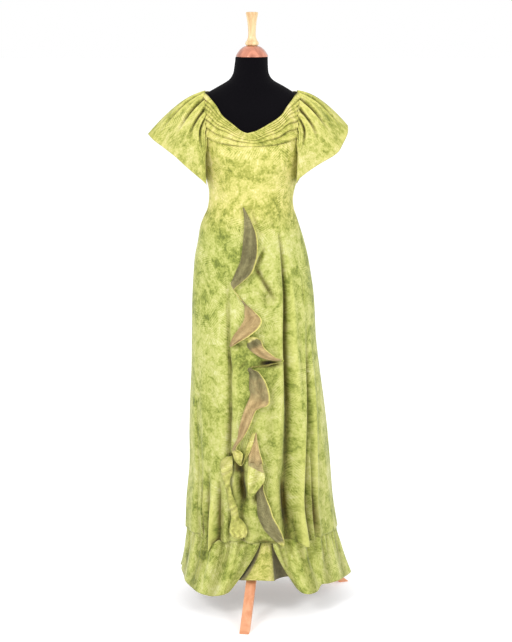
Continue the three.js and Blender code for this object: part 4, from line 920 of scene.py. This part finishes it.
def add_corner():
    """The corner that folds over, its good side out."""
    step, v, grid, uv, _ = strip_grid(CORNER, CORNER_GRID, CORNER_BULGE)
    wave = 2 * math.pi * 1.3 * v + step
    grid[..., 1] -= CORNER_WAVE * np.sin(wave)
    # Painted shade in the wave's troughs, a painted highlight along both edges, and some of the darker
    # painted shade.
    marks = {"painted_shade": 0.22 * np.cos(wave) + 0.08,
             "highlight_and_wear": 0.5 * (smooth(v, 0.88, 1) + smooth(-v, -0.1, 0)),
             "back": 1 - smooth(step - 1.1 * v, 0.1, 0.9), "pink": 0.6, "low": 0.7}
    add_strip("cascade_corner_cloth", grid, uv, marks, turned=True)


def add_ruffle():
    """The cascade's gathered inner edge, which ends in a bunch above the flounce."""
    step, v, grid, uv, _ = strip_grid(RUFFLE, RUFFLE_GRID, RUFFLE_BULGE)
    low = smooth(step, 7, 9)
    uneven = 0.65 + 0.35 * np.sin(step * 3.7 + 1)
    crimp = np.sin(step * 7.4 + 1.5 * np.sin(step * 2.3) + 5 * v) * uneven * smooth(step, 0, 1.5)
    crimp = crimp * (1 - low)
    bunch = np.sin(v * 19 + 1.2 * np.sin(step * 5)) * low * RUFFLE_BUNCH
    grid[..., 1] -= crimp + bunch
    sunk = 0.5 - bunch / (2 * RUFFLE_BUNCH)
    # Painted shade in the crimps and between the bunch's folds, a painted highlight all over, stronger on the
    # bunch, and some of the darker painted shade.
    marks = {"painted_shade": 0.24 * (1 - crimp) * (1 - low) + 0.34 * sunk * low,
             "highlight_and_wear": 0.4 + 0.25 * low, "low": 0.6}
    add_strip("cascade_ruffle_cloth", grid, uv, marks, turned=False)


# ---------- Hem flounce ----------

def join_tables(*tables):
    return {key: np.concatenate([t[key] for t in tables]) for key in ("angle", "x", "y", "z")}


def back_hem():
    out = FLOUNCE_BACK_WAVES
    angle = FLOUNCE_BACK.first + FLOUNCE_BACK.step * np.arange(len(out))
    over_leg = HEM_OVER_LEG.lift * np.exp(-((angle - HEM_OVER_LEG.at) / HEM_OVER_LEG.spread) ** 2)
    x = FLOUNCE_BACK.xc + (FLOUNCE_BACK.half + out) * sin_of(angle)
    y = -(FLOUNCE_BACK.depth + out) * cos_of(angle)
    return {"angle": angle, "x": x, "y": y, "z": FLOUNCE_BACK.z - FLOUNCE_BACK.dip * out + over_leg}


def flounce_point(rows, angle, v, top, curve):
    hem_x, hem_y, hem_z = read(rows, "angle", angle, "x y z")
    z = FLOUNCE_TOP_Z + (hem_z - FLOUNCE_TOP_Z) * v
    seam = top(angle, np.maximum(z, SKIRT_HEM_Z))
    spread = (np.maximum(0, v - FLOUNCE_STRAIGHT) / (1 - FLOUNCE_STRAIGHT)) ** curve
    x = seam[..., 0] + (hem_x - seam[..., 0]) * spread
    y = seam[..., 1] + (hem_y - seam[..., 1]) * spread
    return np.stack([x, y, z + 0 * x], -1)


def add_flounce(name, rows, span, top, curve, lobe=None):
    """A gathered flounce from its seam to the hem in the table, over a span of angles."""
    first, last = span
    columns = int(abs(last - first) / FLOUNCE_GRID.degrees) + 1
    angle, v = spread_out(np.linspace(first, last, columns), np.linspace(0, 1, FLOUNCE_GRID.rows)[::-1])
    surface = lambda a, q: flounce_point(rows, a, q, top, curve)
    normal = surface_normal(surface, angle, v, FLOUNCE_STEPS, -1)
    gathers = sin_of(angle * 46) + 0.7 * sin_of(angle * 71 + 40)
    pucker = FLOUNCE_PUCKER * gathers * smooth(v, 0.0, 0.12) * (1 - smooth(v, 0.2, 0.75))
    wave = np.sin(np.radians(angle * 17 + 25) + 1.3 * v)
    folds = FLOUNCE_FOLD * wave * smooth(v, 0.1, 0.5) * (1 - 0.4 * v)
    relief = pucker + folds
    # Painted shade in the hollows of the gathers and folds, a painted highlight on their ridges, and the full
    # darker painted shade.
    marks = {"painted_shade": 0.16 - relief / 9, "highlight_and_wear": relief / 9 - 0.15, "low": 1.0}
    if lobe:
        swell = np.exp(-((angle - lobe.at) / lobe.half) ** 4)
        relief = relief + lobe.out * swell * smooth(v, 0, 0.4)
        # On the under flounce, painted shade to each side of the lobe.
        marks = {"painted_shade": 0.1 + 0.35 * (1 - swell), "back": 1 - swell, "pink": 0.2}
    grid = surface(angle, v) + normal * relief[..., None]
    around = run_along(grid[FLOUNCE_GRID.measured])[None, :] / 1000
    uv = np.stack([around + 0 * v, CUT_FROM["flounce"] - v * 0.16], -1)
    add_cloth(name, grid, uv, marks, turned=bool(lobe))


def add_flounces():
    inside = lambda angle, z: gown_point(angle, z, np.minimum(fine_relief(angle, z), 0) - FLOUNCE_TUCK)
    further = lambda angle, z: section_point(gown_section(z), angle, -UNDER_TUCK + 0 * angle, z)
    left_front, right_front, under = [
        table("angle x y z", *rows) for rows in (FLOUNCE_LEFT_FRONT, FLOUNCE_RIGHT_FRONT, FLOUNCE_UNDER)]
    behind = back_hem()
    turned = dict(behind, angle=behind["angle"] - 360)
    add_flounce("flounce_left_cloth", join_tables(left_front, behind), LEFT_SPAN, inside, FLOUNCE_CURVE)
    right = join_tables(turned, right_front)
    add_flounce("flounce_right_cloth", right, RIGHT_SPAN, inside, FLOUNCE_CURVE)
    add_flounce("flounce_under_cloth", under, UNDER_SPAN, further, UNDER_CURVE, lobe=UNDER_LOBE)


# ---------- Dress form and stand ----------

def form_point(angle, z):
    return section_point(section(FORM, z), angle, bust_relief(angle, z), z)


def add_ring_body(name, node, rings, material):
    """A closed body of level rings of points, with a fan at its bottom and top."""
    rows, columns = rings.shape[:2]
    points = np.concatenate([rings.reshape(-1, 3), [rings[0].mean(0), rings[-1].mean(0)]])
    faces = grid_squares(rows, columns, True)[2]
    low = rows * columns
    top = low - columns
    for j in range(columns):
        k = (j + 1) % columns
        faces += [(low, k, j), (low + 1, top + j, top + k)]
    settle(add_mesh(name, in_frame(points), faces, material), node)


def add_torso():
    z = np.concatenate([[800, 800.6, 802], np.linspace(806, 1555, 150), [1556.4, 1557]])
    angle, z = spread_out(np.linspace(0, 360, TORSO_SIDES, endpoint=False), z)
    rings = form_point(angle, z)
    rings[0, :, :2] *= 0.985
    add_ring_body("dress_form", "form_torso", rings, JERSEY)


def add_turned(name, node, profile, material, sides=TURNED_SIDES):
    """Turned wood: the profile's corners are rounded by a fine, smoothed line through them."""
    corners = np.array(profile, float)
    steps = run_along(corners)
    fine = np.concatenate([np.linspace(a, b, 7)[:-1] for a, b in zip(steps, steps[1:])] + [[steps[-1]]])
    kernel = np.array([1, 2, 3, 2, 1]) / 9
    radius, height = [np.interp(fine, steps, column) for column in corners.T]
    for line in (radius, height):
        line[2:-2] = np.convolve(line, kernel, "valid")
    turn, height = spread_out(np.linspace(0, 2 * math.pi, sides, endpoint=False), height[radius > 0.4])
    radius = radius[radius > 0.4][:, None]
    rings = np.stack([radius * np.cos(turn), radius * np.sin(turn), height], -1)
    add_ring_body(name, node, rings, material)


def add_prism(name, node, outline, place):
    """A flat outline with thickness, its edges rounded: outline points through place(x, y, side)."""
    points = [place(x, y, side) for side in (0, 1) for x, y in outline]
    count = len(outline)
    faces = [tuple(range(count))[::-1], tuple(range(count, 2 * count))]
    for i in range(count):
        j = (i + 1) % count
        faces.append((i, j, count + j, count + i))
    piece = add_mesh(name, in_frame(points), faces, LEG_WOOD, rounded=False)
    rounding = piece.modifiers.new("worn edges", "BEVEL")
    rounding.width = WOOD_EDGE / 1000
    rounding.segments = 3
    rounding.limit_method = "ANGLE"
    settle(piece, node)


def add_leg(name, node, angle):
    direction = math.radians(angle)
    run = math.hypot(FOOT_REACH - LEG.start, LEG.side)
    swing = direction + math.atan2(-LEG.side, FOOT_REACH - LEG.start)
    start_x = LEG.start * math.cos(direction) - LEG.side * math.sin(direction)
    start_y = LEG.start * math.sin(direction) + LEG.side * math.cos(direction)
    outline = [(0, LEG.slope * (run - LEG.sole)), (run - LEG.sole, 0), (run, 0),
               (0, LEG.slope * run)]

    def place(x, z, side):
        across = LEG.width * (0.5 - side)
        return (start_x + x * math.cos(swing) - across * math.sin(swing),
                start_y + x * math.sin(swing) + across * math.cos(swing), z)

    add_prism(name, node, outline, place)


def add_hub():
    outline = []
    for _, _, angle in LEGS:
        face = math.radians(angle)
        for end in (-1, 1):
            outline.append((HUB.face * math.cos(face) - end * HUB.corner * math.sin(face),
                            HUB.face * math.sin(face) + end * HUB.corner * math.cos(face)))
    place = lambda x, y, side: (x, y, HUB.bottom + (HUB.top - HUB.bottom) * side)
    add_prism("hub_wood", "stand_hub", outline, place)


def add_stand():
    add_torso()
    add_turned("neck_cap_wood", "neck_cap", NECK_CAP, COPPER_WOOD)
    add_turned("finial_wood", "neck_finial", FINIAL, PALE_WOOD)
    add_turned("pole_wood", "stand_pole", POLE, LEG_WOOD, POLE_SIDES)
    add_hub()
    for name, node, angle in LEGS:
        add_leg(name, node, angle)


# ---------- Materials ----------

def linear(red, green, blue):
    """An sRGB colour from 0 to 255, as a linear colour."""
    channels = [c / 255 for c in (red, green, blue)]
    return tuple(c / 12.92 if c <= 0.04045 else ((c + 0.055) / 1.055) ** 2.4 for c in channels) + (1.0,)


class Shader:
    """A material's nodes, with short ways to add and join them."""

    def __init__(self, name):
        self.material = bpy.data.materials.new(name)
        self.material.use_nodes = True
        self.nodes = self.material.node_tree.nodes
        self.links = self.material.node_tree.links
        self.surface = self.nodes["Principled BSDF"]

    def add(self, kind, inputs=None, **settings):
        node = self.nodes.new(kind)
        for key, value in settings.items():
            setattr(node, key, value)
        for key, value in (inputs or {}).items():
            self.set(node.inputs[key], value)
        return node

    def first(self, kind, inputs=None, **settings):
        return self.add(kind, inputs, **settings).outputs[0]

    def set(self, socket, value):
        if isinstance(value, bpy.types.NodeSocket):
            self.links.new(value, socket)
        else:
            socket.default_value = value

    def math(self, operation, *values, clamp=False):
        return self.first("ShaderNodeMath", dict(enumerate(values)), operation=operation, use_clamp=clamp)

    def plus(self, a, b):
        return self.math("ADD", a, b)

    def minus(self, a, b, clamp=False):
        return self.math("SUBTRACT", a, b, clamp=clamp)

    def times(self, a, b):
        return self.math("MULTIPLY", a, b)

    def scaled(self, value, factor, start):
        return self.math("MULTIPLY_ADD", value, factor, start)

    def step(self, value, low, high, kind="SMOOTHSTEP"):
        """0 below low, 1 above high, smooth or straight between them."""
        return self.first("ShaderNodeMapRange", {"Value": value, "From Min": low, "From Max": high},
                          interpolation_type=kind)

    def mix(self, share, a, b, blend="MIX"):
        node = self.add("ShaderNodeMix", {0: share, 6: a, 7: b}, data_type="RGBA", blend_type=blend)
        return node.outputs[2]

    def noise(self, place, scale, detail=3.0, roughness=0.5, distortion=0.0):
        return self.first("ShaderNodeTexNoise", {
            "Vector": place, "Scale": scale, "Detail": detail, "Roughness": roughness,
            "Distortion": distortion})

    def stretch(self, place, scale, move=(0, 0, 0)):
        return self.first("ShaderNodeMapping", {"Vector": place, "Scale": scale, "Location": move})

    def uv(self):
        return self.first("ShaderNodeUVMap", uv_map="cloth")

    def object_place(self):
        return self.add("ShaderNodeTexCoord").outputs["Object"]

    def mark(self, name):
        return self.add("ShaderNodeAttribute", attribute_name=name).outputs["Fac"]

    def tint(self, mark, colour, tone):
        """A colour, multiplied by a tone where the cloth bears a mark."""
        return self.mix(self.mark(mark), colour, linear(*tone), "MULTIPLY")

    def bump(self, height, distance, strength=0.5):
        return self.first("ShaderNodeBump", {"Height": height, "Distance": distance, "Strength": strength})

    def finish(self, **values):
        for key, value in values.items():
            self.set(self.surface.inputs[key.replace("_", " ")], value)
        return self.material

    def finish_cloth(self, colour, roughness, height, distance, **values):
        """Cloth with painted light: paler with a painted highlight on ridges and edges, darker and browner
        with painted shade in its hollows.
        """
        # A painted highlight, mixed towards a pale tone.
        colour = self.mix(self.times(self.mark("highlight_and_wear"), 0.7), colour, linear(*PAINTED_HIGHLIGHT_TONE))
        # Painted shade: greener below the waist, browner in hollows, near black at the deepest.
        for mark, tone in (("low", PAINTED_LOW_SHADE_TONE), ("painted_shade", PAINTED_SHADE_TONE), ("painted_deep_shade", PAINTED_DEEP_SHADE_TONE)):
            colour = self.tint(mark, colour, tone)
        return self.finish(Base_Color=colour, Roughness=roughness, Normal=self.bump(height, distance),
                           Specular_IOR_Level=0.3, **values)


def fronds(shader, uv, scale, move, length, width, pitch, bend):
    """Scattered feathery leaves: one in each cell, turned its own way, with barbs off a bent rib."""
    place = shader.stretch(uv, (1, 1, 1), move)
    cells = shader.add("ShaderNodeTexVoronoi", {"Vector": place, "Scale": scale}, voronoi_dimensions="2D")
    local = shader.first("ShaderNodeVectorMath", {0: place, 1: cells.outputs["Position"]},
                         operation="SUBTRACT")
    chance = shader.add("ShaderNodeSeparateColor", {"Color": cells.outputs["Color"]}).outputs
    turn = shader.scaled(chance[0], 2.6, 0.3)
    turned = shader.first("ShaderNodeVectorRotate", {"Vector": local, "Angle": turn}, rotation_type="Z_AXIS")
    x, y, _ = shader.add("ShaderNodeSeparateXYZ", {"Vector": turned}).outputs
    spine = shader.times(shader.scaled(chance[1], 2 * bend, -bend), shader.times(x, x))
    off_rib = shader.math("ABSOLUTE", shader.minus(y, spine))
    reach = shader.math("DIVIDE", x, length)
    outline = shader.times(shader.minus(1.0, shader.times(reach, reach), clamp=True), width)
    barbs = shader.math("SINE", shader.times(shader.minus(x, off_rib), 2 * math.pi / pitch))
    leaf = shader.step(shader.minus(outline, off_rib), 0.0, 0.004)
    rib = shader.minus(1.0, shader.step(off_rib, 0.0006, 0.0022))
    return shader.times(leaf, shader.math("MAXIMUM", shader.step(barbs, -0.3, 0.5), rib))


def weave(shader, uv):
    """A woven ground's height: fine threads over and under, with a stronger crosswise rib."""
    x, y, _ = shader.add("ShaderNodeSeparateXYZ", {"Vector": uv}).outputs
    turns = 2 * math.pi / THREAD_PITCH
    across = shader.math("SINE", shader.times(x, turns))
    down = shader.math("SINE", shader.plus(shader.times(y, turns), shader.times(shader.noise(uv, 30, 2), 14)))
    return shader.plus(shader.times(across, 0.35), down)


def tones(shader, value, stops):
    """Runs a value from 0 to 1 through a row of colours."""
    ramp = shader.add("ShaderNodeValToRGB", {"Fac": value})
    elements = ramp.color_ramp.elements
    while len(elements) < len(stops):
        elements.new(0.5)
    for element, (place, colour) in zip(elements, stops):
        element.position = place
        element.color = linear(*colour)
    return ramp.outputs[0]


def spread(shader, value, low=0.3, high=0.7):
    """Stretches a noise's middle range to run from 0 to 1."""
    return shader.step(value, low, high, "LINEAR")


def mottle(shader, uv, shares):
    """The woven-in mottling: blotches, flecks and fine stipple, added in these shares."""
    blotches = spread(shader, shader.noise(uv, 8, 4, 0.6, 0.8))
    flecks = spread(shader, shader.noise(shader.stretch(uv, (1, 0.72, 1), (3, 1, 0)), 55, 4, 0.66, 0.5))
    stippled = shader.stretch(uv, (1, 0.8, 1), (7, 2, 0))
    stipple = spread(shader, shader.noise(stippled, 190, 3, 0.7), 0.28, 0.72)
    total = shader.scaled(flecks, shares[1], shader.times(blotches, shares[0]))
    return shader.scaled(stipple, shares[2], total)


def brocade_look(shader, uv):
    """The face's colour, height and roughness: leaves and mottling on a ribbed ground."""
    leaves = shader.math("MAXIMUM", fronds(shader, uv, *BIG_LEAVES), fronds(shader, uv, *SMALL_LEAVES))
    value = shader.scaled(leaves, 0.15, shader.minus(mottle(shader, uv, FACE_SHARES), 0.085))
    height = shader.scaled(leaves, 0.8, shader.times(weave(shader, uv), 0.3))
    return tones(shader, value, BROCADE_TONES), height, shader.scaled(leaves, -0.14, 0.66)


def reverse_look(shader, uv, stops):
    """The reverse's colour and height: the same leaves, faint under its floating threads."""
    threads = shader.noise(shader.stretch(uv, (1, 0.14, 1)), 330, 3, 0.65)
    value = shader.scaled(fronds(shader, uv, *BIG_LEAVES), 0.1, mottle(shader, uv, REVERSE_SHARES))
    value = shader.scaled(spread(shader, threads), 0.2, value)
    return tones(shader, value, stops), shader.scaled(threads, 0.6, shader.times(weave(shader, uv), 0.3))


def make_brocade():
    shader = Shader("brocade")
    colour, height, rough = brocade_look(shader, shader.uv())
    return shader.finish_cloth(colour, rough, height, 0.0006, Sheen_Weight=0.12, Sheen_Roughness=0.4)


def make_reverse():
    shader = Shader("brocade_reverse")
    colour, height = reverse_look(shader, shader.uv(), REVERSE_TONES)
    return shader.finish_cloth(colour, 0.72, height, 0.0005, Sheen_Weight=0.1)


def make_turned():
    """Cloth that shows its face in places and its reverse in others, some of it faded to pink."""
    shader = Shader("brocade_turned")
    uv = shader.uv()
    face, face_height, _ = brocade_look(shader, uv)
    grey, height = reverse_look(shader, uv, REVERSE_TONES)
    pink, _ = reverse_look(shader, uv, FADED_TONES)
    patchy = shader.scaled(shader.noise(uv, 60, 3), 0.5, shader.plus(shader.mark("pink"), -0.25))
    reverse = shader.mix(shader.step(patchy, 0.1, 0.9), grey, pink)
    turned = shader.step(shader.mark("back"), 0.35, 0.65)
    lift = shader.plus(shader.times(height, turned), face_height)
    return shader.finish_cloth(shader.mix(turned, face, reverse), 0.7, lift, 0.0005, Sheen_Weight=0.1)


def make_jersey():
    shader = Shader("jersey")
    place = shader.object_place()
    knit = shader.add("ShaderNodeTexWave", {"Vector": place, "Scale": 260.0, "Distortion": 2.0,
                                            "Detail": 1.0}, bands_direction="Z")
    lint = shader.noise(place, 420, 2, 0.6)
    cloud = shader.noise(place, 12, 3)
    base = shader.mix(shader.times(cloud, 0.7), linear(3, 2, 5), linear(8, 6, 11))
    speckled = shader.mix(shader.times(shader.step(lint, 0.66, 0.78), 0.35), base,
                          linear(34, 32, 38))
    height = shader.plus(knit.outputs[1], shader.times(lint, 0.5))
    return shader.finish(Base_Color=speckled, Roughness=0.88, Normal=shader.bump(height, 0.0004),
                         Sheen_Weight=0.02, Specular_IOR_Level=0.08)


def make_wood(name, light, dark, roughness, coat, grain_scale):
    shader = Shader(name)
    place = shader.object_place()
    bent = shader.stretch(place, (1, 1, 0.12))
    rings = shader.noise(bent, grain_scale, 4, 0.6, 0.8)
    pores = shader.noise(shader.stretch(place, (1, 1, 0.05)), grain_scale * 9, 2, 0.6)
    base = shader.mix(shader.step(rings, 0.36, 0.66), linear(*dark), linear(*light))
    pored = shader.mix(shader.times(shader.step(pores, 0.56, 0.72), 0.3), base, linear(*dark))
    rough = shader.scaled(pores, 0.16, roughness)
    return shader.finish(Base_Color=pored, Roughness=rough, Normal=shader.bump(pores, 0.0002, 0.4),
                         Coat_Weight=coat, Coat_Roughness=0.2)


# ---------- Making it ----------

def add_gown():
    add_panel("front_cloth", front_places("front", FRONT_COLUMNS))
    add_panel("side_left_cloth", front_places("left", SIDE_COLUMNS))
    add_panel("side_right_cloth", front_places("right", SIDE_COLUMNS))
    add_panel("back_cloth", back_places(BACK_COLUMNS))
    add_neck_band()
    add_sleeve("sleeve_right_cloth", -1)
    add_sleeve("sleeve_left_cloth", 1)
    add_cascade()
    add_corner()
    add_ruffle()
    add_flounces()


def add_floor():
    corners = np.array([(-1, -1, 0), (1, -1, 0), (1, 1, 0), (-1, 1, 0)]) * FLOOR_HALF
    shader = Shader("floor_paint")
    tone = shader.noise(shader.object_place(), 3, 2)
    # The floor glows faintly: painted light that lightens the shadows on it and lights the gown from below.
    paint = shader.finish(
        Base_Color=shader.mix(tone, (0.78, 0.78, 0.79, 1), (0.82, 0.82, 0.82, 1)), Roughness=0.9,
        Emission_Color=(1, 1, 1, 1), Emission_Strength=0.32)
    add_mesh("floor", corners, [(0, 1, 2, 3)], paint, rounded=False)


def add_light(name, place, size, power):
    data = bpy.data.lights.new(name, "AREA")
    data.shape = "SQUARE"
    data.size = size
    data.energy = power
    light = link_object(name, data)
    light.location = place
    x, y, z = np.array(LIGHT_AIM, float) - place
    light.rotation_euler = (math.atan2(math.hypot(x, y), -z), 0, math.atan2(y, x) - math.pi / 2)


def add_studio():
    add_floor()
    bpy.context.scene.view_settings.view_transform = "Standard"
    world = bpy.data.worlds.new("studio")
    bpy.context.scene.world = world
    world.use_nodes = True
    sky = world.node_tree.nodes["Background"].inputs
    sky["Color"].default_value = (1, 1, 1, 1)
    sky["Strength"].default_value = 1.0
    for name, (place, size, power) in LIGHTS.items():
        add_light(name, place, size, power)


def add_camera():
    data = bpy.data.cameras.new("camera")
    data.lens = CAMERA.lens
    data.sensor_width = CAMERA.sensor
    data.clip_end = CAMERA.far
    camera = link_object("camera", data)
    camera.location = (POLE_X + CAMERA.x, POLE_Y + CAMERA.y, CAMERA.z)
    camera.rotation_euler = (math.radians(90 - CAMERA.down), 0, 0)
    bpy.context.scene.camera = camera


BROCADE = make_brocade()
REVERSE = make_reverse()
TURNED = make_turned()
JERSEY = make_jersey()
COPPER_WOOD = make_wood("copper_wood", (208, 134, 104), (152, 86, 62), 0.26, 0.8, 30)
PALE_WOOD = make_wood("pale_wood", (226, 202, 152), (202, 162, 112), 0.3, 0.5, 60)
LEG_WOOD = make_wood("leg_wood", (228, 166, 126), (208, 136, 94), 0.46, 0.2, 26)

add_gown()
add_stand()
add_studio()
add_camera()
